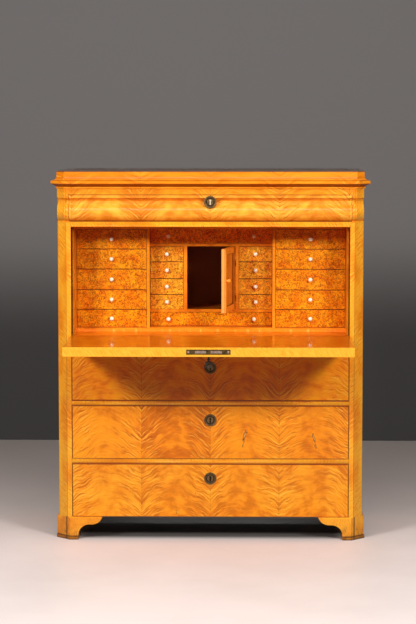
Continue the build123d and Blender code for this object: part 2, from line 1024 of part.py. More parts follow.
def escutcheon(y, z, liner=0):
    """A round escutcheon flat against y, with its keyhole and, on a moulding, a liner."""
    place(rosette.part, 0, y, z)
    if liner:
        face = Plane(origin=(0, y - glue_line, z), x_dir=(1, 0, 0), z_dir=(0, -1, 0))
        with BuildSketch(face) as bush:
            Circle(liner_radius - mortise_clearance)
        extrude(bush.sketch, amount=-liner)
    keyhole(0, y - overrun, z, liner + overrun + overrun)


large_drawers = {
    "bottom_drawer": (foot_height, foot_height + base_cover, middle_rail_z),
    "middle_drawer": (middle_bay_z, middle_bay_z, top_rail_z),
    "top_drawer": (top_bay_z, top_bay_z, deck_rail_z),
}
box_back_y = back_board_y - box_back_gap

for name, (low, floor, high) in large_drawers.items():
    key_z = high - keyhole_drop
    with BuildPart() as front:
        board(
            (-drawer_half_width, drawer_half_width),
            (front_y, front_y + front_thickness),
            (low + drawer_gap, high - drawer_gap),
        )
        keyhole(0, front_y - overrun, key_z, front_thickness + overrun + overrun)
    front.part.label = f"{name}_front"
    export_step(front.part, f"parts/{name}_front.step")

    with BuildPart() as box:
        drawer_box(
            box_half_width,
            front_y + front_thickness,
            box_back_y,
            floor + running_gap,
            high - box_top_gap,
        )
    box.part.label = f"{name}_box"
    export_step(box.part, f"parts/{name}_box.step")

    with BuildPart() as lock:
        lock_case(front_y + front_thickness, high - drawer_gap, lock_height)
        escutcheon(front_y, key_z)
    lock.part.label = f"{name}_lock"
    export_step(lock.part, f"parts/{name}_lock.step")

    with BuildPart() as bolt:
        board(
            (-bolt_width / 2, bolt_width / 2),
            (drawer_bolt_y - bolt_thickness / 2, drawer_bolt_y + bolt_thickness / 2),
            (high - drawer_gap - bolt_length, high - drawer_gap - glue_line),
        )
    bolt.part.label = f"{name}_bolt"
    export_step(bolt.part, f"parts/{name}_bolt.step")

# Head drawer: its front is cut from the moulded head's own profile
head_key_z = frieze_z - head_keyhole_drop
with BuildPart() as head_drawer_front:
    with BuildSketch(front_plane()):
        add(head_outline(head_front_back, frieze_z + frieze_height, head_step))
    extrude(amount=head_half_opening - drawer_gap, both=True)
    board(
        (-case_width, case_width),
        (front_y - case_depth, front_y + case_depth),
        (head_z + drawer_gap, frieze_z - drawer_gap),
        mode=Mode.INTERSECT,
    )
    with BuildSketch(
        Plane(origin=(0, front_y - head_step - overrun, head_key_z), z_dir=(0, 1, 0))
    ):
        Circle(liner_radius)
    extrude(amount=head_step + overrun - ogee_recess, mode=Mode.SUBTRACT)
    keyhole(0, front_y - head_step, head_key_z, head_step + head_front_back + overrun)
head_drawer_front.part.label = "head_drawer_front"
export_step(head_drawer_front.part, "parts/head_drawer_front.step")

with BuildPart() as head_drawer_box:
    drawer_box(
        box_half_width,
        front_y + head_front_back,
        box_back_y,
        head_z + running_gap,
        frieze_z - box_top_gap,
    )
head_drawer_box.part.label = "head_drawer_box"
export_step(head_drawer_box.part, "parts/head_drawer_box.step")

with BuildPart() as head_drawer_lock:
    lock_case(front_y + head_front_back, frieze_z - drawer_gap, head_lock_height)
    escutcheon(front_y - head_step, head_key_z, liner=head_step - ogee_recess - glue_line)
head_drawer_lock.part.label = "head_drawer_lock"
export_step(head_drawer_lock.part, "parts/head_drawer_lock.step")

with BuildPart() as head_drawer_bolt:
    board(
        (-bolt_width / 2, bolt_width / 2),
        (head_bolt_y - bolt_thickness / 2, head_bolt_y + bolt_thickness / 2),
        (frieze_z - drawer_gap - bolt_length, frieze_z - drawer_gap - glue_line),
    )
head_drawer_bolt.part.label = "head_drawer_bolt"
export_step(head_drawer_bolt.part, "parts/head_drawer_bolt.step")


def nest_drawer(xs, y, zs, ceiling, knobs):
    """One small drawer: front, two sides, back, bottom and its turned knobs."""
    middle = (zs[0] + zs[1]) / 2
    box_low = zs[0] + nest_running_gap
    box_high = zs[1] - ceiling - nest_top_gap
    left, right = xs[0] + nest_side_gap, xs[1] - nest_side_gap
    box_y = y + nest_front_thickness + glue_line
    back = nest_back_y - nest_back_gap
    board(inside(*xs, nest_front_gap), (y, y + nest_front_thickness), inside(*zs, nest_front_gap))
    board((left, left + nest_side), (box_y, back), (box_low, box_high))
    board((right - nest_side, right), (box_y, back), (box_low, box_high))
    board(
        inside(left + nest_side, right - nest_side),
        (back - nest_side, back),
        (box_low, box_high),
    )
    board(
        inside(left + nest_side, right - nest_side),
        (box_y, back - nest_side - glue_line),
        (box_low + glue_line, box_low + nest_bottom),
    )
    for across in knobs:
        place(knob_shape, across, y, middle)


nest_places = {}
for side, side_name in side_names.items():
    inner, outer = sorted((side * column_inner, side * lining_half_width))
    for row, (low, high) in enumerate(zip(column_levels, column_levels[1:])):
        nest_places[f"{side_name}_nest_drawer_{row + 1}"] = (
            (inner, outer),
            nest_y,
            (low, high),
            shelf_thickness if high < nest_top_z - glue_line else 0,
            ((inner + outer) / 2,),
        )
    inner, outer = sorted((side * wall_outer, side * centre_half_width))
    for row, (low, high) in enumerate(zip(small_levels, small_levels[1:])):
        nest_places[f"{side_name}_small_drawer_{row + 1}"] = (
            (inner, outer),
            centre_y,
            (low, high),
            shelf_thickness if high < small_top_z - glue_line else 0,
            ((inner + outer) / 2,),
        )
long_knobs = (-long_knob_share * centre_half_width, long_knob_share * centre_half_width)
nest_places["lower_long_drawer"] = (
    (-centre_half_width, centre_half_width),
    centre_y,
    (nest_z, bottom_long_top),
    0,
    long_knobs,
)
nest_places["upper_long_drawer"] = (
    (-centre_half_width, centre_half_width),
    centre_y,
    (long_top_z, nest_top_z),
    0,
    long_knobs,
)
for name, sizes in nest_places.items():
    with BuildPart() as small_drawer:
        nest_drawer(*sizes)
    small_drawer.part.label = name
    export_step(small_drawer.part, f"parts/{name}.step")

# Fall, lying open: its heel is rounded about the pivots
lock_back_y = fall_edge_y + selvage_thickness + fall_lock_depth
key_y = fall_edge_y + key_inset
lock_low = pivot_z - fall_lock_thickness / 2
lock_high = pivot_z + fall_lock_thickness / 2
fall_low_z = pivot_z - fall_thickness / 2
iron_low = pivot_z - stop_iron_thickness / 2
iron_high = pivot_z + stop_iron_thickness / 2
ward_reach = key_shank_radius + key_bit_length + mortise_clearance
with BuildPart() as fall_panel:
    with BuildSketch(Plane.YZ):
        with Locations((pivot_y - fall_length / 2, pivot_z)):
            Rectangle(fall_length, fall_thickness)
        with Locations((pivot_y, pivot_z)):
            Circle(fall_thickness / 2)
    extrude(amount=fall_half_width, both=True)
    # mortises for the lock and its selvage, and the keyhole through the outer face
    board(
        (-fall_lock_width / 2, fall_lock_width / 2),
        (fall_edge_y - overrun, lock_back_y),
        (lock_low, lock_high),
        mode=Mode.SUBTRACT,
    )
    board(
        (-selvage_width / 2, selvage_width / 2),
        (fall_edge_y - overrun, fall_edge_y + selvage_thickness),
        (pivot_z - selvage_height / 2, pivot_z + selvage_height / 2),
        mode=Mode.SUBTRACT,
    )
    with BuildSketch(Plane(origin=(0, key_y, pivot_z))):
        Circle(key_shank_radius + mortise_clearance)
    extrude(amount=-fall_thickness, mode=Mode.SUBTRACT)
    # seats of the pivot straps and mortises of the stop irons
    for side in side_names:
        board(
            (
                side * (fall_half_width - strap_thickness),
                side * (fall_half_width + overrun),
            ),
            (pivot_y - strap_length, pivot_y + strap_width / 2),
            (pivot_z - strap_width / 2, pivot_z + strap_width / 2),
            mode=Mode.SUBTRACT,
        )
        board(
            (side * iron_x - stop_iron_width / 2, side * iron_x + stop_iron_width / 2),
            (pivot_y - stop_iron_root, pivot_y + fall_thickness),
            (iron_low, iron_high),
            mode=Mode.SUBTRACT,
        )
fall_panel.part.label = "fall_panel"
export_step(fall_panel.part, "parts/fall_panel.step")

# Pivot straps with their pins, and the stop irons that rest under the deck
with BuildPart() as fall_pivots:
    for side in side_names:
        board(
            (
                side * (fall_half_width - strap_thickness + glue_line),
                side * fall_half_width,
            ),
            inside(pivot_y - strap_length, pivot_y + strap_width / 2),
            inside(pivot_z - strap_width / 2, pivot_z + strap_width / 2),
        )
        end = (side * fall_half_width, pivot_y, pivot_z)
        with BuildSketch(Plane(origin=end, z_dir=(side, 0, 0))):
            Circle(pivot_radius)
        extrude(amount=fall_side_gap + pivot_length)
        board(
            inside(
                side * iron_x - stop_iron_width / 2, side * iron_x + stop_iron_width / 2
            ),
            (pivot_y - stop_iron_root + glue_line, pivot_y + stop_iron_reach),
            inside(iron_low, iron_high),
        )
fall_pivots.part.label = "fall_pivots"
export_step(fall_pivots.part, "parts/fall_pivots.step")

# Fall lock: selvage plate, case with two bolt ways and a ward space, and escutcheon
with BuildPart() as fall_lock:
    board(
        inside(-selvage_width / 2, selvage_width / 2),
        (fall_edge_y, fall_edge_y + selvage_thickness),
        inside(pivot_z - selvage_height / 2, pivot_z + selvage_height / 2),
    )
    board(
        inside(-fall_lock_width / 2, fall_lock_width / 2),
        (fall_edge_y + selvage_thickness, lock_back_y - glue_line),
        inside(lock_low, lock_high),
    )
    for middle in (-fall_bolt_spacing / 2, fall_bolt_spacing / 2):
        board(
            (
                middle - fall_bolt_width / 2 - bolt_clearance,
                middle + fall_bolt_width / 2 + bolt_clearance,
            ),
            (fall_edge_y - overrun, fall_edge_y + fall_bolt_length + bolt_clearance),
            (
                pivot_z - fall_bolt_height / 2 - bolt_clearance,
                pivot_z + fall_bolt_height / 2 + bolt_clearance,
            ),
            mode=Mode.SUBTRACT,
        )
    board(
        (-ward_reach, ward_reach),
        (key_y - ward_reach, key_y + ward_reach),
        (pivot_z - key_bit_height / 2, pivot_z + key_bit_height / 2),
        mode=Mode.SUBTRACT,
    )
    place(rosette.part, 0, key_y, fall_low_z, direction=(0, 0, -1))
    with BuildSketch(Plane(origin=(0, key_y, pivot_z))):
        Circle(key_shank_radius + key_clearance)
    extrude(amount=-fall_thickness, mode=Mode.SUBTRACT)
fall_lock.part.label = "fall_lock"
export_step(fall_lock.part, "parts/fall_lock.step")

# The two bolts that the key throws
with BuildPart() as fall_bolts:
    for middle in (-fall_bolt_spacing / 2, fall_bolt_spacing / 2):
        board(
            (middle - fall_bolt_width / 2, middle + fall_bolt_width / 2),
            (fall_edge_y, fall_edge_y + fall_bolt_length),
            (pivot_z - fall_bolt_height / 2, pivot_z + fall_bolt_height / 2),
        )
fall_bolts.part.label = "fall_bolts"
export_step(fall_bolts.part, "parts/fall_bolts.step")

# Key, hanging from the open fall: shank, collar, ring bow and bit
ring_z = fall_low_z - key_ring_drop
with BuildPart() as fall_key:
    with BuildSketch(Plane(origin=(0, key_y, pivot_z + key_bit_height / 2 - glue_line))):
        Circle(key_shank_radius)
    extrude(amount=ring_z + key_ring_inner - pivot_z - key_bit_height / 2)
    with BuildSketch(Plane(origin=(0, key_y, fall_low_z - key_collar_drop))):
        RegularPolygon(key_collar_radius, knob_sides)
    extrude(amount=-key_collar_height)
    with BuildSketch(Plane(origin=(0, key_y, ring_z), x_dir=(1, 0, 0), z_dir=(0, -1, 0))):
        RegularPolygon(key_ring_outer, rosette_sides)
        RegularPolygon(key_ring_inner, rosette_sides, mode=Mode.SUBTRACT)
    extrude(amount=key_ring_thickness / 2, both=True)
    board(
        (-key_bit_width / 2, key_bit_width / 2),
        (key_y, key_y + key_shank_radius + key_bit_length),
        inside(pivot_z - key_bit_height / 2, pivot_z + key_bit_height / 2, bolt_clearance),
    )
fall_key.part.label = "fall_key"
export_step(fall_key.part, "parts/fall_key.step")

# Door of the middle compartment, standing ajar. Locally x runs from the hinge axis along the
# leaf, y out of its face, z up.
turn = radians(door_angle)
door_width = door_half_opening + hinge_x - door_latch_gap
door_face = -hinge_knuckle_radius
door_low = small_z + door_gap
door_high = small_top_z - door_gap


def door_plane(x, y, z):
    """A level plane at a place given in the leaf's own directions."""
    along = Vector(-cos(turn), -sin(turn), 0)
    outward = Vector(sin(turn), -cos(turn), 0)
    point = Vector(hinge_x, hinge_y, z) + along * x + outward * y
    return Plane(origin=point, x_dir=along, z_dir=(0, 0, 1))


def door_board(xs, ys, zs, mode=Mode.ADD):
    """A straight piece of the leaf, given in the leaf's own directions."""
    foot = door_plane((xs[0] + xs[1]) / 2, (ys[0] + ys[1]) / 2, zs[0])
    with BuildSketch(foot) as section:
        Rectangle(xs[1] - xs[0], ys[1] - ys[0])
    extrude(section.sketch, amount=zs[1] - zs[0], mode=mode)


with BuildPart() as nest_door:
    door_board(
        (hinge_offset, door_width),
        (door_face - door_thickness, door_face),
        (door_low, door_high),
    )
    door_board(
        (hinge_offset + door_frame, door_width - door_frame),
        (door_face - door_panel_recess, door_face + overrun),
        (door_low + door_frame, door_high - door_frame),
        mode=Mode.SUBTRACT,
    )
    for level in hinge_levels:
        door_board(
            (0, hinge_offset + hinge_leaf_thickness),
            (door_face - hinge_leaf_width, door_face + overrun),
            (level - hinge_height / 2, level + hinge_height / 2),
            mode=Mode.SUBTRACT,
        )
    knob_plane = door_plane(door_width - door_knob_inset, door_face, (door_low + door_high) / 2)
    place(knob_shape, *knob_plane.origin, direction=(sin(turn), -cos(turn), 0))
nest_door.part.label = "nest_door"
export_step(nest_door.part, "parts/nest_door.step")

# Door halves of its hinges
with BuildPart() as door_hinges:
    for level in hinge_levels:
        high = level + hinge_half - glue_line
        with BuildSketch(door_plane(0, 0, level + knuckle_gap)):
            Circle(hinge_knuckle_radius)
        extrude(amount=high - level - knuckle_gap)
        door_board(
            (hinge_offset, hinge_offset + hinge_leaf_thickness - glue_line),
            (door_face - glue_line, 0),
            (level + knuckle_gap, high),
        )
        door_board(
            (hinge_offset, hinge_offset + hinge_leaf_thickness - glue_line),
            (door_face - hinge_leaf_width + glue_line, door_face - glue_line),
            (level - hinge_half + glue_line, high),
        )
        with BuildSketch(door_plane(0, 0, level)):
            Circle(hinge_pin_radius + hinge_clearance)
        extrude(amount=hinge_half - hinge_cap + knuckle_gap, mode=Mode.SUBTRACT)
door_hinges.part.label = "door_hinges"
export_step(door_hinges.part, "parts/door_hinges.step")
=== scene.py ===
import json
import math

import bmesh
import bpy
from mathutils import Matrix, Vector


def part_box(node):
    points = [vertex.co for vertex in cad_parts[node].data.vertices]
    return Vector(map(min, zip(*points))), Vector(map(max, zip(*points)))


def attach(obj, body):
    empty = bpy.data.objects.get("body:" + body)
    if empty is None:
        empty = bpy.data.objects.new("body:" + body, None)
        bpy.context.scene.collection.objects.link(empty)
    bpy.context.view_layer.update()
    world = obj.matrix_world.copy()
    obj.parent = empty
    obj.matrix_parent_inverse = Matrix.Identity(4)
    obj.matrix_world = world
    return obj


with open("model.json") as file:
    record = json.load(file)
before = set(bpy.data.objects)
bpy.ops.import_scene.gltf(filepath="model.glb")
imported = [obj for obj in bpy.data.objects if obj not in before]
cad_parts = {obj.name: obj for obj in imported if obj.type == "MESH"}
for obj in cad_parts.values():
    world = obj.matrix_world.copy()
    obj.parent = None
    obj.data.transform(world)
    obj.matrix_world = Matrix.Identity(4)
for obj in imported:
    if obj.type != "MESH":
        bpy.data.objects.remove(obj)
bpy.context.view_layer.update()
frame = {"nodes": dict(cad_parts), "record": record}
nodes = frame["nodes"]
bodyOf = {name: body for body, names in frame["record"]["behaviour"]["bodies"].items() for name in names}
print("frame loaded:", len(nodes), "nodes")


# small tools for node trees

def tint(code):
    channels = [int(code[i:i + 2], 16) / 255 for i in (1, 3, 5)]
    return tuple(c / 12.92 if c < 0.04045 else ((c + 0.055) / 1.055) ** 2.4 for c in channels) + (1,)


def feed(tree, socket, value):
    if isinstance(value, bpy.types.NodeSocket):
        tree.links.new(value, socket)
    elif value is not None:
        socket.default_value = value


def calc(tree, operation, *values):
    made = tree.nodes.new("ShaderNodeMath")
    made.operation = operation
    for socket, value in zip(made.inputs, values):
        feed(tree, socket, value)
    return made.outputs[0]


def plus(tree, a, b):
    return calc(tree, "ADD", a, b)


def minus(tree, a, b):
    return calc(tree, "SUBTRACT", a, b)


def times(tree, a, b):
    return calc(tree, "MULTIPLY", a, b)


def over(tree, a, b):
    return calc(tree, "DIVIDE", a, b)


def offset(tree, value, middle):
    # how far a value lies from a middle, either way
    return calc(tree, "ABSOLUTE", minus(tree, value, middle))


def span(tree, value, low, high, start=0.0, end=1.0, kind="SMOOTHSTEP"):
    made = tree.nodes.new("ShaderNodeMapRange")
    made.interpolation_type = kind
    names = ("Value", "From Min", "From Max", "To Min", "To Max")
    for name, given in zip(names, (value, low, high, start, end)):
        feed(tree, made.inputs[name], given)
    return made.outputs["Result"]


def lineAt(tree, value, middle, solid, soft, strength=1.0):
    # full within solid of the middle, gone at soft
    return span(tree, offset(tree, value, middle), solid, soft, strength, 0.0)


def between(tree, value, rise, fall, strength=1.0):
    # grows over the first pair of values, fades over the second
    return times(tree, span(tree, value, *rise, 0.0, strength), span(tree, value, *fall, 1.0, 0.0))


def split(tree, vector):
    made = tree.nodes.new("ShaderNodeSeparateXYZ")
    feed(tree, made.inputs[0], vector)
    return made.outputs[:]


def join(tree, x=0.0, y=0.0, z=0.0):
    made = tree.nodes.new("ShaderNodeCombineXYZ")
    for socket, value in zip(made.inputs, (x, y, z)):
        feed(tree, socket, value)
    return made.outputs[0]


def noise(tree, vector, scale, detail=3.0, roughness=0.5, distortion=0.0):
    made = tree.nodes.new("ShaderNodeTexNoise")
    names = ("Vector", "Scale", "Detail", "Roughness", "Distortion")
    for name, given in zip(names, (vector, scale, detail, roughness, distortion)):
        feed(tree, made.inputs[name], given)
    return made.outputs["Fac"]


def field(tree, across, wide, seed, up, tall, *rest):
    # noise over two directions, each at its own scale, with the seed between them
    return noise(tree, join(tree, times(tree, across, wide), seed, times(tree, up, tall)), 1.0, *rest)


def stretched(tree, parts, scales, *rest):
    # noise with a scale of its own along each of three directions
    scaled = [times(tree, part, scale) for part, scale in zip(parts, scales)]
    return noise(tree, join(tree, *scaled), 1.0, *rest)


def blend(tree, factor, low, high):
    made = tree.nodes.new("ShaderNodeMix")
    made.data_type = "RGBA"
    feed(tree, made.inputs["Factor"], factor)
    feed(tree, made.inputs[6], low)
    feed(tree, made.inputs[7], high)
    return made.outputs[2]


def layered(tree, colour, *layers):
    # every layer is a mask and the colour it brings
    for mask, code in layers:
        colour = blend(tree, mask, colour, tint(code))
    return colour


def makeGroup(name, inputs, outputs):
    # an input that starts as one number is a value, any other a vector
    tree = bpy.data.node_groups.new(name, "ShaderNodeTree")
    for label, value in inputs.items():
        kind = "NodeSocketFloat" if isinstance(value, float) else "NodeSocketVector"
        socket = tree.interface.new_socket(name=label, in_out="INPUT", socket_type=kind)
        if value is not None:
            socket.default_value = value
    for label in outputs:
        tree.interface.new_socket(name=label, in_out="OUTPUT", socket_type="NodeSocketFloat")
    return tree, tree.nodes.new("NodeGroupInput").outputs, tree.nodes.new("NodeGroupOutput").inputs


def useGroup(tree, group, **values):
    made = tree.nodes.new("ShaderNodeGroup")
    made.node_tree = group
    for name, value in values.items():
        feed(tree, made.inputs[name], value)
    return made.outputs


def setInputs(node, values):
    for name, value in values.items():
        node.inputs[name].default_value = value


def objectSpot(tree, turn=(0, 0, 0), place=(0, 0, 0)):
    # Mapping turns the object's own directions so that local X runs across the grain and Z along it
    spot = tree.nodes.new("ShaderNodeTexCoord").outputs["Object"]
    if turn == (0, 0, 0):
        return spot
    mapping = tree.nodes.new("ShaderNodeMapping")
    mapping.vector_type = "TEXTURE"
    setInputs(mapping, {"Location": place, "Rotation": tuple(math.radians(a) for a in turn)})
    tree.links.new(spot, mapping.inputs["Vector"])
    return mapping.outputs["Vector"]


def addBump(tree, shader, height, strength, distance):
    bump = tree.nodes.new("ShaderNodeBump")
    setInputs(bump, {"Strength": strength, "Distance": distance})
    tree.links.new(height, bump.inputs["Height"])
    paint(shader, bump.outputs[0], "Normal")


def paint(shader, value, name="Base Color"):
    shader.id_data.links.new(value, shader.inputs[name])


def plainMaterial(name, colour, roughness):
    made = bpy.data.materials.new(name)
    made.use_nodes = True
    shader = made.node_tree.nodes["Principled BSDF"]
    setInputs(shader, {"Base Color": tint(colour), "Roughness": roughness})
    return made, made.node_tree, shader


def newPiece(name, data):
    piece = bpy.data.objects.new(name, data)
    bpy.context.scene.collection.objects.link(piece)
    return piece


# camera, floor, backdrop and lights

cameraSet = {
    "place": (0.1301, -7.8167, 1.5761), "pitch": 5.16, "yaw": 1.023, "lens": 118.8, "sensor": 36, "far": 100,
}
camera = newPiece("camera", bpy.data.cameras.new("camera"))
camera.location = cameraSet["place"]
camera.rotation_euler = (math.radians(90 - cameraSet["pitch"]), 0, math.radians(cameraSet["yaw"]))
camera.data.sensor_width = cameraSet["sensor"]
camera.data.lens = cameraSet["lens"]
camera.data.clip_end = cameraSet["far"]
bpy.context.scene.camera = camera

roomSet = {
    "floor": ("#F2EAE9", "#E8E0DE"), "floorBackShade": "#C0B6B2", "floorBounce": "#7A7472", "underCaseShadow": "#1C1614",
    "fadeIn": (-0.3, 2.3), "fadeOut": (2.4, 4.5), "fade": 0.82,
    "shadeX": (0.47, 0.55), "shadeIn": (-0.05, 0.03), "shadeOut": (0.36, 0.45), "shade": 0.85,
    "wall": ("#474748", "#747374"), "wallShadeShift": (0.45, 1.15),
    "wallY": 2.45, "wallHeight": 8.0, "halfWidth": 14.0, "front": -14.0,
}


def flatPiece(name, corners, material):
    mesh = bpy.data.meshes.new(name)
    mesh.from_pydata(corners, [], [tuple(range(len(corners)))])
    mesh.materials.append(material)
    return newPiece(name, mesh)


def makeFloor():
    half, front = roomSet["halfWidth"], roomSet["front"]
    material, tree, shader = plainMaterial("floorPaint", roomSet["floor"][0], 0.5)
    spot = objectSpot(tree)
    across, back, _ = split(tree, spot)
    cloud = noise(tree, spot, 1.1, 5, 0.6)
    shade = blend(tree, span(tree, cloud, 0.35, 0.7), *(tint(code) for code in roomSet["floor"]))
    # painted shade: the floor darkens towards the backdrop, and fades out again beyond it
    backFloorShade = between(tree, back, roomSet["fadeIn"], roomSet["fadeOut"], roomSet["fade"])
    # painted shadow on the floor under the case, between the feet
    shadowUnderCase = span(tree, calc(tree, "ABSOLUTE", across), *roomSet["shadeX"], roomSet["shade"], 0.0)
    shadowUnderCase = times(tree, shadowUnderCase, between(tree, back, roomSet["shadeIn"], roomSet["shadeOut"]))
    shade = layered(tree, shade, (backFloorShade, roomSet["floorBackShade"]), (shadowUnderCase, roomSet["underCaseShadow"]))
    # the pale floor is what the camera and shiny surfaces see; the light it throws back is dimmer
    path = tree.nodes.new("ShaderNodeLightPath").outputs
    seen = plus(tree, plus(tree, path["Is Camera Ray"], path["Is Glossy Ray"]), path["Is Transmission Ray"])
    shade = blend(tree, calc(tree, "MINIMUM", seen, 1.0), tint(roomSet["floorBounce"]), shade)
    paint(shader, shade)
    edge = [(-half, front, 0), (half, front, 0), (half, -front, 0), (-half, -front, 0)]
    return flatPiece("floor", edge, material)


def makeWall():
    half, wallY, high = roomSet["halfWidth"], roomSet["wallY"], roomSet["wallHeight"]
    material, tree, shader = plainMaterial("wallPaint", roomSet["wall"][1], 0.9)
    up = split(tree, objectSpot(tree))[2]
    # painted shade: the backdrop darker towards the floor
    shade = blend(tree, span(tree, up, *roomSet["wallShadeShift"]), *(tint(code) for code in roomSet["wall"]))
    paint(shader, shade)
    # clear when looked at from behind
    sides = tree.nodes.new("ShaderNodeMixShader")
    behind = tree.nodes.new("ShaderNodeNewGeometry").outputs["Backfacing"]
    clear = tree.nodes.new("ShaderNodeBsdfTransparent").outputs[0]
    for number, source in enumerate((behind, shader.outputs[0], clear)):
        tree.links.new(source, sides.inputs[number])
    tree.links.new(sides.outputs[0], tree.nodes["Material Output"].inputs[0])
    edge = [(-half, wallY, 0), (half, wallY, 0), (half, wallY, high), (-half, wallY, high)]
    return flatPiece("wall", edge, material)


lamps = {
    "keyLeft": {"place": (-2.75, -3.6, 2.66), "size": (1.2, 0.8), "power": 160, "aim": (0, 0, 0.75)},
    "keyRight": {"place": (2.45, -3.7, 2.72), "size": (1.2, 0.8), "power": 146, "aim": (0, 0, 0.75)},
    "overhead": {"place": (0, -3.4, 5.4), "size": (3.0, 2.0), "power": 110, "aim": (0, -0.3, 0.5)},
    "behind": {"place": (0, 5.5, 3.4), "size": (3.0, 2.0), "power": 90, "aim": (0, 0.2, 0.7)},
    "backFill": {
        "place": (0, 2.38, 1.15), "size": (0.9, 0.4), "power": 4.5, "aim": (0, 0.45, 1.15), "spread": 60,
    },
}
skySet = {"lamp": "#FFF9F4", "low": "#6E6C6B", "high": "#F4F2F0", "shift": (-0.05, 0.55), "strength": 0.03}


def makeLamps():
    for name, said in lamps.items():
        lamp = newPiece(name, bpy.data.lights.new(name, "AREA"))
        lamp.data.shape = "RECTANGLE"
        lamp.data.size, lamp.data.size_y = said["size"]
        lamp.data.energy = said["power"]
        lamp.data.color = tint(skySet["lamp"])[:3]
        lamp.data.spread = math.radians(said.get("spread", 180))
        lamp.location = said["place"]
        lamp.rotation_euler = (Vector(said["aim"]) - lamp.location).to_track_quat("-Z", "Y").to_euler()
        lamp.visible_camera = False
    world = bpy.data.worlds.new("studio")
    world.use_nodes = True
    tree = world.node_tree
    up = split(tree, tree.nodes.new("ShaderNodeTexCoord").outputs["Generated"])[2]
    sky = blend(tree, span(tree, up, *skySet["shift"]), tint(skySet["low"]), tint(skySet["high"]))
    tree.links.new(sky, tree.nodes["Background"].inputs["Color"])
    tree.nodes["Background"].inputs["Strength"].default_value = skySet["strength"]
    bpy.context.scene.world = world


makeFloor()
makeWall()
makeLamps()
bpy.context.scene.view_settings.view_transform = "Standard"
print("room and lamps made")


# figure of the wood: groups that give masks

figureMasks = ("Figure", "Shine", "Glow", "Grain", "Join")


def sendMasks(tree, out, across, seed, level, depth, glow, grain):
    # one streaky field less itself moved a little: a light streak always lies beside a dark one
    here = noise(tree, join(tree, across, seed, level), 1.0, 2.0, 0.5, 0.45)
    moved = noise(tree, join(tree, across, seed, plus(tree, level, 0.42)), 1.0, 2.0, 0.5, 0.45)
    relief = minus(tree, here, moved)
    figure = times(tree, span(tree, relief, -0.22, 0.0, 1.0, 0.0), depth)
    shine = times(tree, span(tree, relief, 0.0, 0.24), depth)
    for label, value in zip(figureMasks, (figure, shine, glow, grain)):
        tree.links.new(value, out[label])


def flameGroup():
    # book-matched leaves: ripples rise from every seam and lie flat between two seams
    tree, given, out = makeGroup("flameFigure", {
        "Place": None, "Seam": 0.0, "Leaf": 0.262, "Arch": 0.062, "Ripple": 0.0095, "Length": 0.040,
        "Seed": 0.0,
    }, figureMasks)
    across, _, up = split(tree, given["Place"])
    fromFirst = minus(tree, across, given["Seam"])
    fromSeam = calc(tree, "PINGPONG", fromFirst, given["Leaf"])
    share = over(tree, fromSeam, given["Leaf"])
    seed = plus(tree, given["Seed"], times(tree, across, 1.5))
    slow = field(tree, fromSeam, 6.0, seed, up, 5.0, 2)
    quick = field(tree, fromSeam, 34.0, seed, up, 30.0, 2)
    hump = calc(tree, "POWER", calc(tree, "SINE", times(tree, share, math.pi)), 0.9)
    wander = times(tree, minus(tree, slow, 0.5), 0.09)
    wobble = times(tree, minus(tree, quick, 0.5), 0.016)
    level = plus(tree, plus(tree, minus(tree, up, times(tree, hump, given["Arch"])), wander), wobble)
    along = over(tree, fromSeam, given["Length"])
    thick = over(tree, level, given["Ripple"])
    patch = field(tree, share, 2.4, seed, level, 12.0, 2)
    near = span(tree, offset(tree, share, 0.5), 0.08, 0.42, 0.22, 1.0)
    depth = times(tree, near, span(tree, patch, 0.3, 0.62, 0.45, 1.0))
    cloud = field(tree, share, 1.9, seed, level, 8.0, 3, 0.55)
    band = field(tree, along, 0.9, seed, thick, 0.32, 2.0)
    # every leaf has a tone of its own, so the seams show
    number = calc(tree, "FLOOR", over(tree, fromFirst, given["Leaf"]))
    tone = noise(tree, join(tree, times(tree, number, 3.7), given["Seed"], 0.4), 1.0, 0.0)
    glow = plus(tree, times(tree, cloud, 0.42), times(tree, band, 0.58))
    glow = plus(tree, glow, times(tree, minus(tree, tone, 0.5), 0.28))
    grain = field(tree, across, 800.0, seed, up, 45.0, 2, 0.6)
    sendMasks(tree, out, along, seed, thick, depth, glow, grain)
    toSeam = calc(tree, "MINIMUM", fromSeam, minus(tree, given["Leaf"], fromSeam))
    tree.links.new(span(tree, toSeam, 0.0003, 0.0011, 1.0, 0.0), out["Join"])
    return tree


def rippleGroup():
    # a plain strip: short ripples lie across the grain, leaning a little
    tree, given, out = makeGroup("rippleFigure", {
        "Place": None, "Lean": 0.45, "Ripple": 0.0060, "Length": 0.02, "Seed": 0.0,
    }, figureMasks)
    seed = given["Seed"]
    across, deep, along = split(tree, given["Place"])
    width = plus(tree, calc(tree, "ABSOLUTE", across), times(tree, deep, 0.8))
    sway = field(tree, width, 9.0, seed, along, 6.0, 3)
    level = plus(tree, plus(tree, along, times(tree, width, given["Lean"])), times(tree, sway, 0.05))
    patch = field(tree, width, 14.0, seed, along, 9.0, 2)
    depth = span(tree, patch, 0.3, 0.62, 0.4, 1.0)
    glow = field(tree, width, 10.0, seed, along, 5.0, 3, 0.55)
    grain = stretched(tree, (across, deep, along), (800.0, 800.0, 40.0), 2, 0.6)
    column, row = over(tree, width, given["Length"]), over(tree, level, given["Ripple"])
    sendMasks(tree, out, column, seed, row, depth, glow, grain)
    out["Join"].default_value = 0.0
    return tree


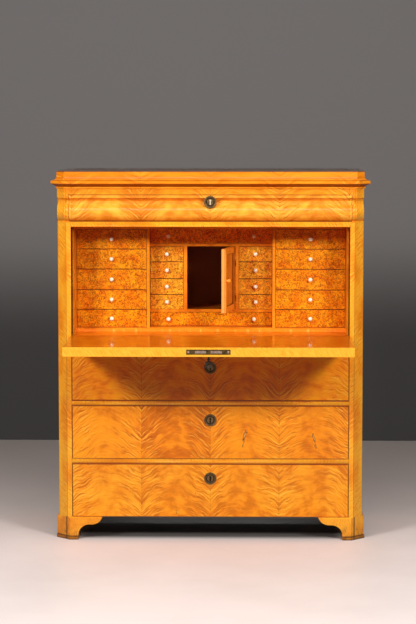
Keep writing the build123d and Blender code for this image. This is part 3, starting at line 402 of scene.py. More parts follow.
def burrGroup():
    # burr birch: crowded small flecks and worm-like veins over a cloudy ground
    tree, given, out = makeGroup("burrFigure", {"Place": None, "Seed": 0.0}, ["Fleck", "Vein", "Glow"])
    x, y, z = split(tree, given["Place"])
    spot = join(tree, plus(tree, x, given["Seed"]), y, plus(tree, z, given["Seed"]))
    veins = noise(tree, spot, 135.0, 2.0, 0.55, 1.3)
    thin = offset(tree, veins, 0.5)
    where = span(tree, noise(tree, spot, 95.0, 2.0), 0.38, 0.5)
    vein = times(tree, span(tree, thin, 0.015, 0.075, 1.0, 0.0), where)
    dots = noise(tree, join(tree, x, y, plus(tree, z, given["Seed"])), 230.0, 1.0, 0.5, 1.0)
    crowd = span(tree, noise(tree, spot, 40.0, 3.0), 0.36, 0.52, 0.25, 1.0)
    fleck = times(tree, span(tree, dots, 0.52, 0.6), crowd)
    glow = noise(tree, spot, 24.0, 5.0, 0.62)
    tree.links.new(fleck, out["Fleck"])
    tree.links.new(vein, out["Vein"])
    tree.links.new(glow, out["Glow"])
    return tree


def borderGroup():
    # how near a spot is to the four edges of an upright face, for painted shade of the gaps round it, ragged
    # at its inner edge
    tree, given, out = makeGroup("borderShade", {
        "Place": None, "Middle": (0, 0, 0), "Half": (1, 1, 1), "Reach": 0.004,
    }, ["Border"])
    x, _, z = split(tree, given["Place"])
    mx, _, mz = split(tree, given["Middle"])
    hx, _, hz = split(tree, given["Half"])
    sideways = minus(tree, hx, offset(tree, x, mx))
    upright = minus(tree, hz, offset(tree, z, mz))
    nearest = calc(tree, "MINIMUM", sideways, upright)
    ragged = times(tree, noise(tree, given["Place"], 60.0, 3.0), given["Reach"])
    edge = plus(tree, times(tree, given["Reach"], 0.35), ragged)
    tree.links.new(span(tree, nearest, 0.0, edge, 1.0, 0.0), out["Border"])
    return tree


def dirtGroup():
    # grime that climbs from a level, ragged at its upper edge
    tree, given, out = makeGroup("dirtShade", {"Place": None, "Foot": 0.0, "Reach": 0.03}, ["Dirt"])
    _, _, z = split(tree, given["Place"])
    cloud = noise(tree, given["Place"], 45.0, 4.0, 0.6)
    ragged = times(tree, minus(tree, cloud, 0.5), given["Reach"])
    height = plus(tree, minus(tree, z, given["Foot"]), ragged)
    tree.links.new(span(tree, height, 0.0, given["Reach"], 1.0, 0.0), out["Dirt"])
    return tree


def boxGroup():
    # 1 inside a box of the object, fading over Soft towards its Low and High corners
    tree, given, out = makeGroup("insideBox", {
        "Place": None, "Low": (0, 0, 0), "High": (1, 1, 1), "Soft": 0.002,
    }, ["Inside"])
    place, low, high = split(tree, given["Place"]), split(tree, given["Low"]), split(tree, given["High"])
    nearest = None
    for at, a, b in zip(place, low, high):
        room = calc(tree, "MINIMUM", minus(tree, at, a), minus(tree, b, at))
        nearest = room if nearest is None else calc(tree, "MINIMUM", nearest, room)
    tree.links.new(span(tree, nearest, 0.0, given["Soft"]), out["Inside"])
    return tree


flameTree, rippleTree, burrTree = flameGroup(), rippleGroup(), burrGroup()
borderTree, dirtTree, boxTree = borderGroup(), dirtGroup(), boxGroup()


# finishes

birchSet = {
    "light": "#FBA41C", "middle": "#EC8C10", "dark": "#C05C04", "deep": "#6E1C00", "bright": "#FFC64A",
    "sheen": 0.25, "rough": 0.36, "coat": 0.2, "coatRough": 0.1, "bump": 0.1, "figure": 1.0, "zone": 0.5,
}
burrSet = {
    "light": "#FFA814", "middle": "#EE8206", "dark": "#802600", "edge": "#3A1010", "low": "#A8360A",
    "rough": 0.3, "sheen": 0.3, "coat": 0.2, "coatRough": 0.15, "bump": 0.12,
    "reach": 0.0026, "lowest": 0.81, "redden": (0.800, 0.806),
}
pineSet = {
    "light": "#CE9A55", "middle": "#A8713A", "dark": "#55301A", "rough": 0.62, "bump": 0.3,
    "rings": (55.0, 9.0, 1.6), "fine": (700.0, 200.0, 14.0),
}
boneSet = {
    "plain": "#F6EFE0", "light": "#F6FAE4", "aged": "#DEDAB6", "line": "#BFA373", "rough": 0.28,
    "sheen": 0.5, "coat": 0.4, "coatRough": 0.1, "lines": (900.0, 120.0, 900.0),
}


def gapShadeMask(tree, spot, face, reach):
    low, high = face
    middle = tuple((a + b) / 2 for a, b in zip(low, high))
    half = tuple((b - a) / 2 for a, b in zip(low, high))
    return useGroup(tree, borderTree, Place=spot, Middle=middle, Half=half, Reach=reach)["Border"]


def polish(shader, said):
    names = {"Coat Weight": "coat", "Coat Roughness": "coatRough", "Specular IOR Level": "sheen"}
    setInputs(shader, {name: said[key] for name, key in names.items()})


def woodTone(tree, made, said):
    # the masks of a figure group laid over one another as colours
    colour = blend(tree, span(tree, made["Glow"], 0.36, 0.60), tint(said["light"]), tint(said["middle"]))
    return layered(
        tree, colour,
        (span(tree, made["Glow"], 0.48, 0.68, 0.0, said["zone"]), said["dark"]),
        (times(tree, made["Figure"], 0.8 * said["figure"]), said["dark"]),
        (times(tree, made["Shine"], 0.85 * said["figure"]), said["bright"]),
        (span(tree, made["Grain"], 0.5, 0.78, 0.0, 0.16), said["deep"]),
        (times(tree, made["Join"], 0.35), said["deep"]),
    )


def birch(name, figure="ripple", turn=(0, 0, 0), face=None, reach=0.0035, extra=None, colours=None, **values):
    said = dict(birchSet, **woodColours.get(colours, {}))
    material, tree, shader = plainMaterial(name, said["middle"], said["rough"])
    plain = objectSpot(tree)
    group = {"flame": flameTree, "ripple": rippleTree}[figure]
    made = useGroup(tree, group, Place=objectSpot(tree, turn), **values)
    colour = woodTone(tree, made, said)
    if face:
        # painted shade of the gaps round the front
        colour = layered(tree, colour, (times(tree, gapShadeMask(tree, plain, face, reach), 0.7), said["deep"]))
    if extra:
        colour = extra(tree, plain, colour)
    paint(shader, colour)
    rough = span(tree, made["Figure"], 0.0, 1.0, said["rough"], said["rough"] + 0.08, "LINEAR")
    paint(shader, rough, "Roughness")
    polish(shader, said)
    addBump(tree, shader, minus(tree, made["Grain"], times(tree, made["Figure"], 0.6)), said["bump"], 0.0005)
    return material


def burr(name, seed, face, light=burrSet["light"], middle=burrSet["middle"]):
    material, tree, shader = plainMaterial(name, middle, burrSet["rough"])
    spot = objectSpot(tree)
    made = useGroup(tree, burrTree, Place=spot, Seed=seed)
    colour = layered(
        tree, blend(tree, span(tree, made["Glow"], 0.36, 0.64), tint(middle), tint(light)),
        (times(tree, made["Vein"], 0.78), burrSet["dark"]),
        (times(tree, made["Fleck"], 0.66), burrSet["dark"]),
        # painted shade of the gaps round each small drawer
        (times(tree, gapShadeMask(tree, spot, face, burrSet["reach"]), 0.8), burrSet["edge"]),
    )
    if face[0][2] < burrSet["lowest"]:
        # the lowest drawers redden towards the nest's foot
        red = span(tree, split(tree, spot)[2], *burrSet["redden"], 0.5, 0.0)
        colour = layered(tree, colour, (red, burrSet["low"]))
    paint(shader, colour)
    polish(shader, burrSet)
    addBump(tree, shader, minus(tree, made["Glow"], made["Vein"]), burrSet["bump"], 0.0005)
    return material


def paintedShadeUnderside(tree, plain, colour):
    # painted shade: the board under the lowest drawer, deep under the case, is painted nearly black
    return layered(tree, colour, (span(tree, split(tree, plain)[2], 0.094, 0.098, 0.9, 0.0), "#1E120A"))


def pine(name, turn=(0, 0, 0), extra=None):
    material, tree, shader = plainMaterial(name, pineSet["middle"], pineSet["rough"])
    spot = objectSpot(tree, turn)
    parts = split(tree, spot)
    rings = stretched(tree, parts, pineSet["rings"], 3, 0.55, 0.4)
    fine = stretched(tree, parts, pineSet["fine"], 2)
    stain = noise(tree, spot, 3.0, 4, 0.6)
    colour = layered(
        tree, blend(tree, span(tree, rings, 0.38, 0.62), tint(pineSet["light"]), tint(pineSet["middle"])),
        (span(tree, fine, 0.5, 0.75, 0.0, 0.3), pineSet["dark"]),
        (span(tree, stain, 0.5, 0.78, 0.0, 0.45), pineSet["dark"]),
    )
    if extra:
        colour = extra(tree, objectSpot(tree), colour)
    paint(shader, colour)
    addBump(tree, shader, plus(tree, fine, rings), pineSet["bump"], 0.0006)
    return material


def metal(name, light, dark, rough, patina):
    material, tree, shader = plainMaterial(name, light, rough)
    spot = objectSpot(tree)
    cloud, speck = noise(tree, spot, 90.0, 4, 0.6), noise(tree, spot, 450.0, 2, 0.6)
    mask = span(tree, plus(tree, times(tree, cloud, 0.7), times(tree, speck, 0.3)), 0.40, 0.62)
    colour = layered(tree, tint(light), (times(tree, mask, patina), dark))
    paint(shader, colour)
    dulled = span(tree, mask, 0.0, 1.0, rough, min(rough + 0.25, 0.9), "LINEAR")
    paint(shader, dulled, "Roughness")
    shader.inputs["Metallic"].default_value = 0.85
    addBump(tree, shader, mask, 0.25, 0.0004)
    return material


def boneFinish(name):
    material, tree, shader = plainMaterial(name, boneSet["plain"], boneSet["rough"])
    spot = objectSpot(tree)
    lines = stretched(tree, split(tree, spot), boneSet["lines"], 2)
    age = noise(tree, spot, 60.0, 3)
    colour = layered(
        tree, tint(boneSet["light"]),
        (span(tree, age, 0.4, 0.75, 0.0, 0.5), boneSet["aged"]),
        (span(tree, lines, 0.55, 0.8, 0.0, 0.3), boneSet["line"]),
    )
    paint(shader, colour)
    polish(shader, boneSet)
    return material


print("finishes ready")


def dress(name, material):
    mesh = nodes[name].data
    mesh.materials.clear()
    mesh.materials.append(material)


def corners(name):
    low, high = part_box(name)
    return tuple(low), tuple(high)


lay = (0, 90, 0)  # grain along X
deepWise = (90, 0, 0)  # grain along Y
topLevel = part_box("top_board")[1][2]
headLow, headHigh = (corner[2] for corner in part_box("head_drawer_front"))
fallLow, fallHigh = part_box("fall_panel")

# marks of age, lines of joints, painted shade and painted highlights, each laid over the wood of its own
# nodes

corniceSet = {
    "hollow": ((1.3478, 1.3490), (1.3592, 1.3602)), "shade": ((1.3755, 1.3795), (1.3835, 1.3856)),
    "lip": 1.3722, "topEdge": (1.4022, 1.4050), "dust": ("#75665E", "#5C4E47"),
}


def dustAndPaintedShade(tree, plain, colour):
    # the unpolished top, grey with dust; below, painted shadow in the hollow between bead and lip, a band of
    # painted shade on the cove above the lip and a painted shade line at the lip
    up = split(tree, plain)[2]
    colour = layered(
        tree, colour,
        (times(tree, between(tree, up, *corniceSet["hollow"]), 0.85), "#8A2402"),
        (times(tree, between(tree, up, *corniceSet["shade"]), 0.5), "#B05200"),
        (lineAt(tree, up, corniceSet["lip"], 0.0008, 0.0026, 0.6), "#A84A00"),
        (span(tree, up, *corniceSet["topEdge"], 0.0, 0.75), "#4E2C1C"),
    )
    bare = span(tree, up, topLevel - 0.0012, topLevel - 0.0004)
    cloud = span(tree, noise(tree, plain, 7.0, 5.0, 0.65), 0.35, 0.7)
    return blend(tree, bare, colour, blend(tree, cloud, *(tint(code) for code in corniceSet["dust"])))


def tearGroup():
    # a short tear in the veneer: a leaning spindle with a ragged outline
    tree, given, out = makeGroup("tearMark", {
        "Place": None, "Spot": (0, 0, 0), "Lean": 0.0, "Width": 0.002, "Length": 0.02,
    }, ["Tear", "Core"])
    x, _, z = split(tree, given["Place"])
    sx, _, sz = split(tree, given["Spot"])
    up = minus(tree, z, sz)
    off = minus(tree, minus(tree, x, sx), times(tree, up, given["Lean"]))
    ragged = times(tree, minus(tree, noise(tree, given["Place"], 170.0, 3.0, 0.6), 0.5), 0.008)
    wide = over(tree, plus(tree, off, ragged), given["Width"])
    tall = over(tree, up, given["Length"])
    reach = plus(tree, times(tree, wide, wide), times(tree, tall, tall))
    tree.links.new(span(tree, reach, 0.5, 1.0, 1.0, 0.0), out["Tear"])
    tree.links.new(span(tree, reach, 0.10, 0.34, 1.0, 0.0), out["Core"])
    return tree


tearTree = tearGroup()
tears = {
    "middle_drawer": (
        ((0.1310, 0, 0.402), 0.28, 0.0056, 0.024), ((0.1262, 0, 0.370), 0.3, 0.0028, 0.016),
        ((0.1370, 0, 0.418), -0.6, 0.0030, 0.008), ((0.3945, 0, 0.392), -0.3, 0.0036, 0.021),
        ((0.4010, 0, 0.360), -0.2, 0.0032, 0.010), ((0.3900, 0, 0.404), 0.6, 0.0026, 0.006),
    ),
    "bottom_drawer": (((-0.1295, 0, 0.106), 0.0, 0.0016, 0.008), ((-0.056, 0, 0.179), 0.0, 0.0018, 0.003)),
}


def tearsAndHeadShade(drawer):
    def tearsAndShade(tree, plain, colour):
        if drawer == "head_drawer":
            # painted shade: a dark line along the head drawer's lower edge, under its belly, and a fainter
            # one along its top edge at the gap under the frieze
            up = split(tree, plain)[2]
            colour = layered(
                tree, colour,
                (span(tree, up, headLow + 0.002, headLow + 0.0045, 0.75, 0.0), "#6A2400"),
                (span(tree, up, headHigh - 0.003, headHigh - 0.0008, 0.0, 0.5), "#8A3404"),
            )
        for spot, lean, width, length in tears.get(drawer, ()):
            mark = useGroup(tree, tearTree, Place=plain, Spot=spot, Lean=lean, Width=width, Length=length)
            tear, core = times(tree, mark["Tear"], 0.85), times(tree, mark["Core"], 0.8)
            colour = layered(tree, colour, (tear, "#5A1E06"), (core, "#F0B060"))
        return colour
    return tearsAndShade


footSet = {
    "grime": (0.004, 0.02), "haze": (0.0, 0.09), "strip": 0.0125, "sole": (0.0018, 0.0040), "cant": 0.5500,
}


def footGrime(tree, plain, colour):
    dirt, haze = (
        useGroup(tree, dirtTree, Place=plain, Foot=foot, Reach=reach)["Dirt"]
        for foot, reach in (footSet["grime"], footSet["haze"])
    )
    x, _, z = split(tree, plain)
    strip = lineAt(tree, z, footSet["strip"], 0.0014, 0.0032)
    sole = span(tree, z, *footSet["sole"], 1.0, 0.0)
    corner = lineAt(tree, calc(tree, "ABSOLUTE", x), footSet["cant"], 0.0012, 0.0034)
    lines = calc(tree, "MAXIMUM", calc(tree, "MAXIMUM", strip, sole), corner)
    wearAndKeyhole = span(tree, noise(tree, plain, 38.0, 4.0, 0.6), 0.52, 0.66, 0.0, 0.45)
    return layered(
        tree, colour,
        (times(tree, haze, 0.25), "#8A4412"), (times(tree, dirt, 0.6), "#4A2008"),
        (times(tree, wearAndKeyhole, haze), "#5A2606"), (times(tree, lines, 0.8), "#3A1404"),
    )


nestSet = {
    "liningGap": (0.5240, 0.5252), "hollow": ((-0.0965, 0.1835, 0.8635), (0.0965, 0.46, 1.112)),
    "foot": ((-0.530, 0.100, 0.7820), (0.530, 0.1207, 0.7930)),
}


def boxMask(tree, plain, box, soft):
    return useGroup(tree, boxTree, Place=plain, Low=box[0], High=box[1], Soft=soft)["Inside"]


def nestShadeAndHighlight(tree, plain, colour):
    # painted shade in the gap beside the linings, a painted highlight on the nest's foot, and painted shade
    # that makes the place behind the door nearly black
    x = split(tree, plain)[0]
    gap = span(tree, calc(tree, "ABSOLUTE", x), *nestSet["liningGap"])
    # painted highlight along the bevel of the nest's foot, broken along its length
    breaks = noise(tree, join(tree, times(tree, x, 60.0)), 1.0, 3.0)
    pale = blend(tree, span(tree, breaks, 0.55, 0.66, 0.0, 0.8), tint("#F88208"), tint("#FFB84A"))
    colour = layered(tree, colour, (times(tree, gap, 0.9), "#2A0C02"))
    colour = blend(tree, boxMask(tree, plain, nestSet["foot"], 0.0004), colour, pale)
    # painted shade in the compartment behind the door
    hollow = boxMask(tree, plain, nestSet["hollow"], 0.002)
    return layered(tree, colour, (times(tree, hollow, 0.93), "#763C06"))


postSet = {"inner": (0.5283, 0.5287), "cant": 0.546}


def postLines(tree, plain, colour):
    # the side of the fall's opening is painted with shade, and a fine joint runs where the cant begins
    fromMiddle = calc(tree, "ABSOLUTE", split(tree, plain)[0])
    inner = span(tree, fromMiddle, *postSet["inner"], 1.0, 0.0)
    joint = lineAt(tree, fromMiddle, postSet["cant"], 0.0004, 0.0016)
    return layered(tree, colour, (times(tree, inner, 0.85), "#3A1204"), (times(tree, joint, 0.45), "#5E2200"))


railSet = {"lines": ((0.3102, 0.3), (0.5345, 1.0), (0.2928, 1.0), (0.5160, 1.0))}


def railShadeLines(tree, plain, colour):
    # dark lines of painted shade along the upper and lower edges of the rails
    up = split(tree, plain)[2]
    lines = 0.0
    for middle, strength in railSet["lines"]:
        lines = calc(tree, "MAXIMUM", lines, lineAt(tree, up, middle, 0.0014, 0.0028, strength))
    return layered(tree, colour, (times(tree, lines, 0.85), "#8E2200"))


doorSet = {
    "hinge": (0.0935, 0.178, 0), "open": (0, 0, -100), "middle": (0.093, 0.98766), "half": (0.069, 0.09801),
    "free": (0.1848, 0.1854), "pale": (-0.0085, -0.0075), "seam": -0.0072,
}


def doorLines(tree, plain, colour):
    # in the door's own directions: a dark line of painted shade round the sunk panel, the panel a little
    # darker, and a pale free edge
    x, deep, z = split(tree, objectSpot(tree, doorSet["open"], doorSet["hinge"]))
    (midX, midZ), (halfX, halfZ) = doorSet["middle"], doorSet["half"]
    wide, tall = minus(tree, offset(tree, x, midX), halfX), minus(tree, offset(tree, z, midZ), halfZ)
    outside = calc(tree, "MAXIMUM", wide, tall)
    free = span(tree, x, *doorSet["free"])
    return layered(
        tree, colour,
        (span(tree, outside, -0.0012, -0.0004, 0.32, 0.0), "#A04404"),
        (lineAt(tree, outside, 0.0, 0.0010, 0.0026, 0.9), "#6A2402"),
        (times(tree, free, span(tree, deep, *doorSet["pale"], 0.85, 0.0)), "#F8A858"),
        (times(tree, free, lineAt(tree, deep, doorSet["seam"], 0.0004, 0.0012, 0.7)), "#8A3A08"),
    )


def fallLipping(tree, plain, colour):
    # the fall's edges carry a pale lipping, its outer face the same flame as the drawers
    x, y, z = split(tree, plain)
    lean = times(tree, plus(tree, x, times(tree, z, 0.7)), 230.0)
    ticks = noise(tree, join(tree, lean, times(tree, z, 40.0), 3.0), 1.0, 2)
    pale = blend(tree, span(tree, ticks, 0.42, 0.62, 0.0, 0.75), tint("#FFB83A"), tint("#EE9A20"))
    front = span(tree, y, fallLow[1] + 0.0004, fallLow[1] + 0.0010, 1.0, 0.0)
    side = span(tree, calc(tree, "ABSOLUTE", x), fallHigh[0] - 0.0010, fallHigh[0] - 0.0004)
    below = span(tree, z, fallLow[2] + 0.0004, fallLow[2] + 0.0010, 1.0, 0.0)
    made = useGroup(tree, flameTree, Place=objectSpot(tree, deepWise), Seed=2.6)
    outer = woodTone(tree, made, dict(birchSet, **woodColours["middle_drawer"]))
    colour = blend(tree, below, colour, outer)
    return blend(tree, calc(tree, "MAXIMUM", front, side), colour, pale)


# the wood and metal of every node

woodColours = {
    "post": {"light": "#FFB42C", "middle": "#F89614", "dark": "#D06402", "figure": 1.1},
    "rail": {"light": "#FFAE20", "middle": "#FA960E"},
    "frieze": {"light": "#F49E1E", "middle": "#E88A12", "dark": "#B85400", "zone": 0.3},
    "feet": {"light": "#FFB02E", "middle": "#FC9A20", "figure": 0.6},
    "cornice": {
        "light": "#F8981A", "middle": "#EC860E", "dark": "#BC5800", "bright": "#FFB83C", "zone": 0.25,
    },
    "top": {"coat": 0.0, "rough": 0.7},
    "nest": {"light": "#F99A18", "middle": "#E5800C", "dark": "#B85400", "bright": "#FFB040", "figure": 0.5},
    "door": {"light": "#F89A24", "middle": "#E47E0E", "figure": 0.4},
    "leaf": {
        "light": "#DE7800", "middle": "#CE6400", "dark": "#A84400", "bright": "#EA8C14",
        "coat": 0.5, "coatRough": 0.05, "rough": 0.32, "figure": 0.35, "zone": 0.3,
    },
    "bead": {"light": "#FFB634", "middle": "#FFA01C", "dark": "#E07C0C"},
    "small": {"light": "#FFBC2E", "middle": "#FA9A20"},
    "head_drawer": {"light": "#FFB438", "middle": "#F08E1A", "dark": "#B84E00", "zone": 0.3},
    "top_drawer": {"light": "#FFA004", "middle": "#FB8800", "dark": "#C85200"},
    "middle_drawer": {"light": "#FF9C10", "middle": "#EC8000", "dark": "#B44A00"},
    "bottom_drawer": {"light": "#FFA620", "middle": "#F48C0C", "dark": "#C05A00"},
}
sideBoard = birch("sideBirch", "flame", turn=(0, 0, 90), Seed=5.0, Seam=0.2, Leaf=0.25, Arch=0.06)
post = birch("stileBirch", Seed=3.0, Lean=-0.75, Length=0.03, Ripple=0.007, extra=postLines, colours="post")
for side in ("left", "right"):
    dress(side + "_side_panel", sideBoard)
    dress(side + "_corner_post", post)
dress("case_rails", birch("railBirch", turn=lay, Seed=8.0, extra=railShadeLines, colours="rail"))
dress("frieze_rail", birch("friezeBirch", "flame", colours="frieze"))
for name in ("front_feet", "rear_feet"):
    dress(name, birch(name + "Birch", turn=lay, Seed=21.0, extra=footGrime, colours="feet"))
dress("cornice", birch(
    "corniceBirch", "flame", Seed=15.0, Arch=0.022, Length=0.12, Ripple=0.010, extra=dustAndPaintedShade,
    colours="cornice",
))
dress("top_board", birch("topBirch", "flame", turn=deepWise, Seed=11.0, extra=dustAndPaintedShade, colours="top"))
dress("nest_case", birch("nestCaseBirch", turn=lay, Seed=4.0, extra=nestShadeAndHighlight, colours="nest"))
dress("nest_partitions", birch("partitionBirch", Seed=6.0, extra=nestShadeAndHighlight, colours="nest"))
dress("nest_door", birch("doorBirch", Seed=7.0, extra=doorLines, colours="door"))
for name, label, extra in (("fall_panel", "fall", fallLipping), ("writing_deck", "deck", None)):
    dress(name, birch(
        label + "Birch", "flame", turn=deepWise, Seed=13.0, Arch=0.03, extra=extra, colours="leaf",
    ))
for number, name in enumerate(("head_drawer", "top_drawer", "middle_drawer", "bottom_drawer")):
    dress(name + "_front", birch(
        name + "Birch", "flame", face=corners(name + "_front"), reach=0.0015 if number == 0 else 0.0035,
        Seed=1.7 * number, extra=tearsAndHeadShade(name), colours=name,
    ))
    dress(name + "_box", pine(name + "BoxPine", deepWise))
smallDrawers = [n for n in nodes if "nest_drawer" in n or "small_drawer" in n or "long_drawer" in n]
for number, name in enumerate(smallDrawers):
    paler = woodColours["small"] if "small" in name else {}
    dress(name, burr(name + "Burr", 0.37 * number, corners(name), **paler))
for name, turn in (("dust_boards", lay), ("drawer_guides", deepWise), ("back_boards", (0, 0, 0))):
    dress(name, pine(name + "Pine", turn, extra=paintedShadeUnderside if name == "dust_boards" else None))
darkBrass = metal("darkBrass", "#6A5530", "#2A200E", 0.42, 0.8)
steel = metal("boltSteel", "#B29A8A", "#5E4C40", 0.4, 0.55)
iron = metal("hingeIron", "#4E4A46", "#2A211A", 0.5, 0.7)
for name in nodes:
    if name.endswith("_lock") or name == "case_fittings":
        dress(name, darkBrass)
    if name.endswith("_bolt") or name == "fall_bolts":
        dress(name, steel)
dress("door_hinges", metal("hingeBrass", "#C9A050", "#6A4A20", 0.35, 0.5))
dress("fall_key", iron)
dress("fall_pivots", iron)
print("nodes dressed")


# turned bone knobs, made once by Geometry Nodes and set at every drawer's middle

knobSet = {
    "profile": (
        (0.0047, 0.0), (0.0049, 0.0009), (0.0039, 0.0020), (0.0034, 0.0027), (0.0044, 0.0036),
        (0.00575, 0.0050), (0.0071, 0.0063), (0.0079, 0.0075), (0.0081, 0.0095), (0.0079, 0.0117),
        (0.0073, 0.0135), (0.0061, 0.0152), (0.00495, 0.0164), (0.0042, 0.01705), (0.0028, 0.01725),
        (0.0, 0.0173),
    ),
    "around": 32, "front": 0.017, "longSide": 0.16625,
    "doorPlace": (0.0608, 0.0071, 0.9877), "doorWay": (0.985, -0.174, 0), "doorSize": 0.75,
}


def placedPoints(name, places):
    # a bare mesh whose points carry where and which way each repeated part stands
    mesh = bpy.data.meshes.new(name)
    mesh.from_pydata([p for p, _ in places], [], [])
    facing = mesh.attributes.new("facing", "FLOAT_VECTOR", "POINT")
    for number, (_, way) in enumerate(places):
        facing.data[number].vector = way
    return newPiece(name, mesh)


def plainMesh(built, name):
    bmesh.ops.recalc_face_normals(built, faces=built.faces)
    mesh = bpy.data.meshes.new(name)
    built.to_mesh(mesh)
    built.free()
    return mesh


def fullTurn(parts):
    return [2 * math.pi * k / parts for k in range(parts)]


def turnedMesh(name, profile, around):
    # a profile of (radius, height) pairs spun about its own Z, closed at its poles
    built = bmesh.new()
    rings = []
    for radius, height in profile:
        turns = fullTurn(around if radius else 1)
        rings.append([built.verts.new((radius * math.cos(a), radius * math.sin(a), height)) for a in turns])
    for below, above in zip(rings, rings[1:]):
        for k in range(around):
            n = (k + 1) % around
            if len(above) == 1:
                built.faces.new((below[k], below[n], above[0]))
            else:
                built.faces.new((below[k], below[n], above[n], above[k]))
    built.faces.new(list(reversed(rings[0])))
    mesh = plainMesh(built, name)
    for face in mesh.polygons:
        face.use_smooth = True
    return mesh


def repeatTree(name):
    # sets one shape on every point, turned to face where the point's attribute says
    tree = bpy.data.node_groups.new(name, "GeometryNodeTree")
    inputs = {"Geometry": "Geometry", "Shape": "Object", "Size": "Float", "Finish": "Material"}
    for label, kind in inputs.items():
        tree.interface.new_socket(label, in_out="INPUT", socket_type="NodeSocket" + kind)
    tree.interface.new_socket("Geometry", in_out="OUTPUT", socket_type="NodeSocketGeometry")
    start, end, facing, turn, shape, spread, solid, finish = (tree.nodes.new(kind) for kind in (
        "NodeGroupInput", "NodeGroupOutput", "GeometryNodeInputNamedAttribute",
        "FunctionNodeAlignEulerToVector", "GeometryNodeObjectInfo", "GeometryNodeInstanceOnPoints",
        "GeometryNodeRealizeInstances", "GeometryNodeSetMaterial",
    ))
    facing.data_type = "FLOAT_VECTOR"
    facing.inputs["Name"].default_value = "facing"
    turn.axis = "Z"
    shape.inputs["As Instance"].default_value = True
    for source, output, target, given in (
        (start, "Shape", shape, "Object"), (start, "Geometry", spread, "Points"),
        (start, "Size", spread, "Scale"), (start, "Finish", finish, "Material"),
        (facing, "Attribute", turn, "Vector"), (turn, "Rotation", spread, "Rotation"),
        (shape, "Geometry", spread, "Instance"), (spread, "Instances", solid, "Geometry"),
        (solid, "Geometry", finish, "Geometry"), (finish, "Geometry", end, "Geometry"),
    ):
        tree.links.new(source.outputs[output], target.inputs[given])
    return tree


repeater = repeatTree("setOnPoints")


def repeated(name, mesh, places, material, body, size=1.0):
    # the points, the modifier and its result as one plain mesh on one body
    points, pattern = placedPoints(name + "Points", places), newPiece(name + "Pattern", mesh)
    modifier = points.modifiers.new("repeat", "NODES")
    modifier.node_group = repeater
    sockets = {item.name: item.identifier for item in repeater.interface.items_tree if item.in_out == "INPUT"}
    modifier[sockets["Shape"]] = pattern
    modifier[sockets["Size"]] = size
    modifier[sockets["Finish"]] = material
    seen = points.evaluated_get(bpy.context.evaluated_depsgraph_get())
    plain = bpy.data.meshes.new_from_object(seen)
    points.modifiers.remove(modifier)
    for leftover in (points, pattern):
        bpy.data.objects.remove(leftover)
    plain.name = name
    piece = newPiece(name, plain)
    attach(piece, body)


boneMaterial = boneFinish("turnedBone")
knobMesh = turnedMesh("knobShape", knobSet["profile"], knobSet["around"])
for name in smallDrawers:
    (x0, y0, z0), (x1, _, z1) = corners(name)
    across = (-knobSet["longSide"], knobSet["longSide"]) if "long" in name else ((x0 + x1) / 2,)
    places = [((x, y0 + knobSet["front"], (z0 + z1) / 2), (0, -1, 0)) for x in across]
    repeated(name + "_knobs", knobMesh, places, boneMaterial, bodyOf[name])
repeated(
    "door_knob", knobMesh, [(knobSet["doorPlace"], knobSet["doorWay"])], boneMaterial, bodyOf["nest_door"],
    knobSet["doorSize"],
)
print("knobs turned")


# light beads along the lower edges of the rails

trimSet = {
    "rails": (0.2958, 0.5190), "height": 0.0080, "swell": 0.0012, "half": 0.5272, "steps": 8,
    "frontY": -0.0445, "lift": 0.00005, "dark": (0.0004, 0.0020),
}


def bead(name, low, material):
    built = bmesh.new()
    steps, half, front = trimSet["steps"], trimSet["half"], trimSet["frontY"]
    ends = []
    for x in (-half, half):
        line = []
        for step in range(steps + 1):
            turn = math.pi * step / steps
            y = front - trimSet["swell"] * math.sin(turn) - trimSet["lift"]
            line.append(built.verts.new((x, y, low + trimSet["height"] * (1 - math.cos(turn)) / 2)))
        ends.append(line)
    for step in range(steps):
        face = built.faces.new((ends[0][step], ends[1][step], ends[1][step + 1], ends[0][step + 1]))
        face.smooth = True
    built.faces.new((ends[0][0], ends[0][steps], ends[1][steps], ends[1][0]))
    for line in ends:
        built.faces.new(line)
    mesh = plainMesh(built, name)
    mesh.materials.append(material)
    piece = newPiece(name, mesh)
    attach(piece, "case")


def beadUnderShade(low):
    def edge(tree, plain, colour):
        # painted shade along the bead's lower edge
        start, end = (low + reach for reach in trimSet["dark"])
        return layered(tree, colour, (span(tree, split(tree, plain)[2], start, end, 0.8, 0.0), "#8E2A04"))
    return edge


for label, low in zip(("lower", "upper"), trimSet["rails"]):
    bead(label + "_rail_bead", low, birch(
        label + "BeadBirch", turn=lay, Seed=31.0, Length=0.008, extra=beadUnderShade(low), colours="bead",
    ))
print("beads laid")


# round escutcheons: a dished plate with a rolled rim, a ring of pearls and a boss with its keyhole

rosetteSet = {
    "profile": (
        (0.0234, 0.0), (0.0235, 0.0012), (0.0230, 0.0024), (0.0218, 0.0031), (0.0206, 0.0030),
        (0.0196, 0.0022), (0.0150, 0.0020), (0.0138, 0.0016), (0.0128, 0.0017), (0.0121, 0.0028),
        (0.0115, 0.0030),
    ),
    "around": 72, "bossHeight": 0.0030, "wellHeight": 0.00266, "heart": 0.0005,
    "keyRound": 0.0041, "keyRise": 0.0055, "keySlot": 0.0020, "keyFlare": 0.0032, "keyReach": 0.0104,
    "search": (0.0113, 0.001, 0.0001),
    "pearls": 34, "pearlRing": 0.0170, "pearlSeat": 0.0022, "pearlAround": 10,
    "pearl": ((0.00125, 0.0), (0.00115, 0.0006), (0.0008, 0.0011), (0.0, 0.0014)),
}


def inKeyhole(x, z):
    said = rosetteSet
    if math.hypot(x, z - said["keyRise"]) < said["keyRound"]:
        return True
    share = -z / said["keyReach"]
    return -0.2 <= share <= 1 and abs(x) < said["keySlot"] + (said["keyFlare"] - said["keySlot"]) * share


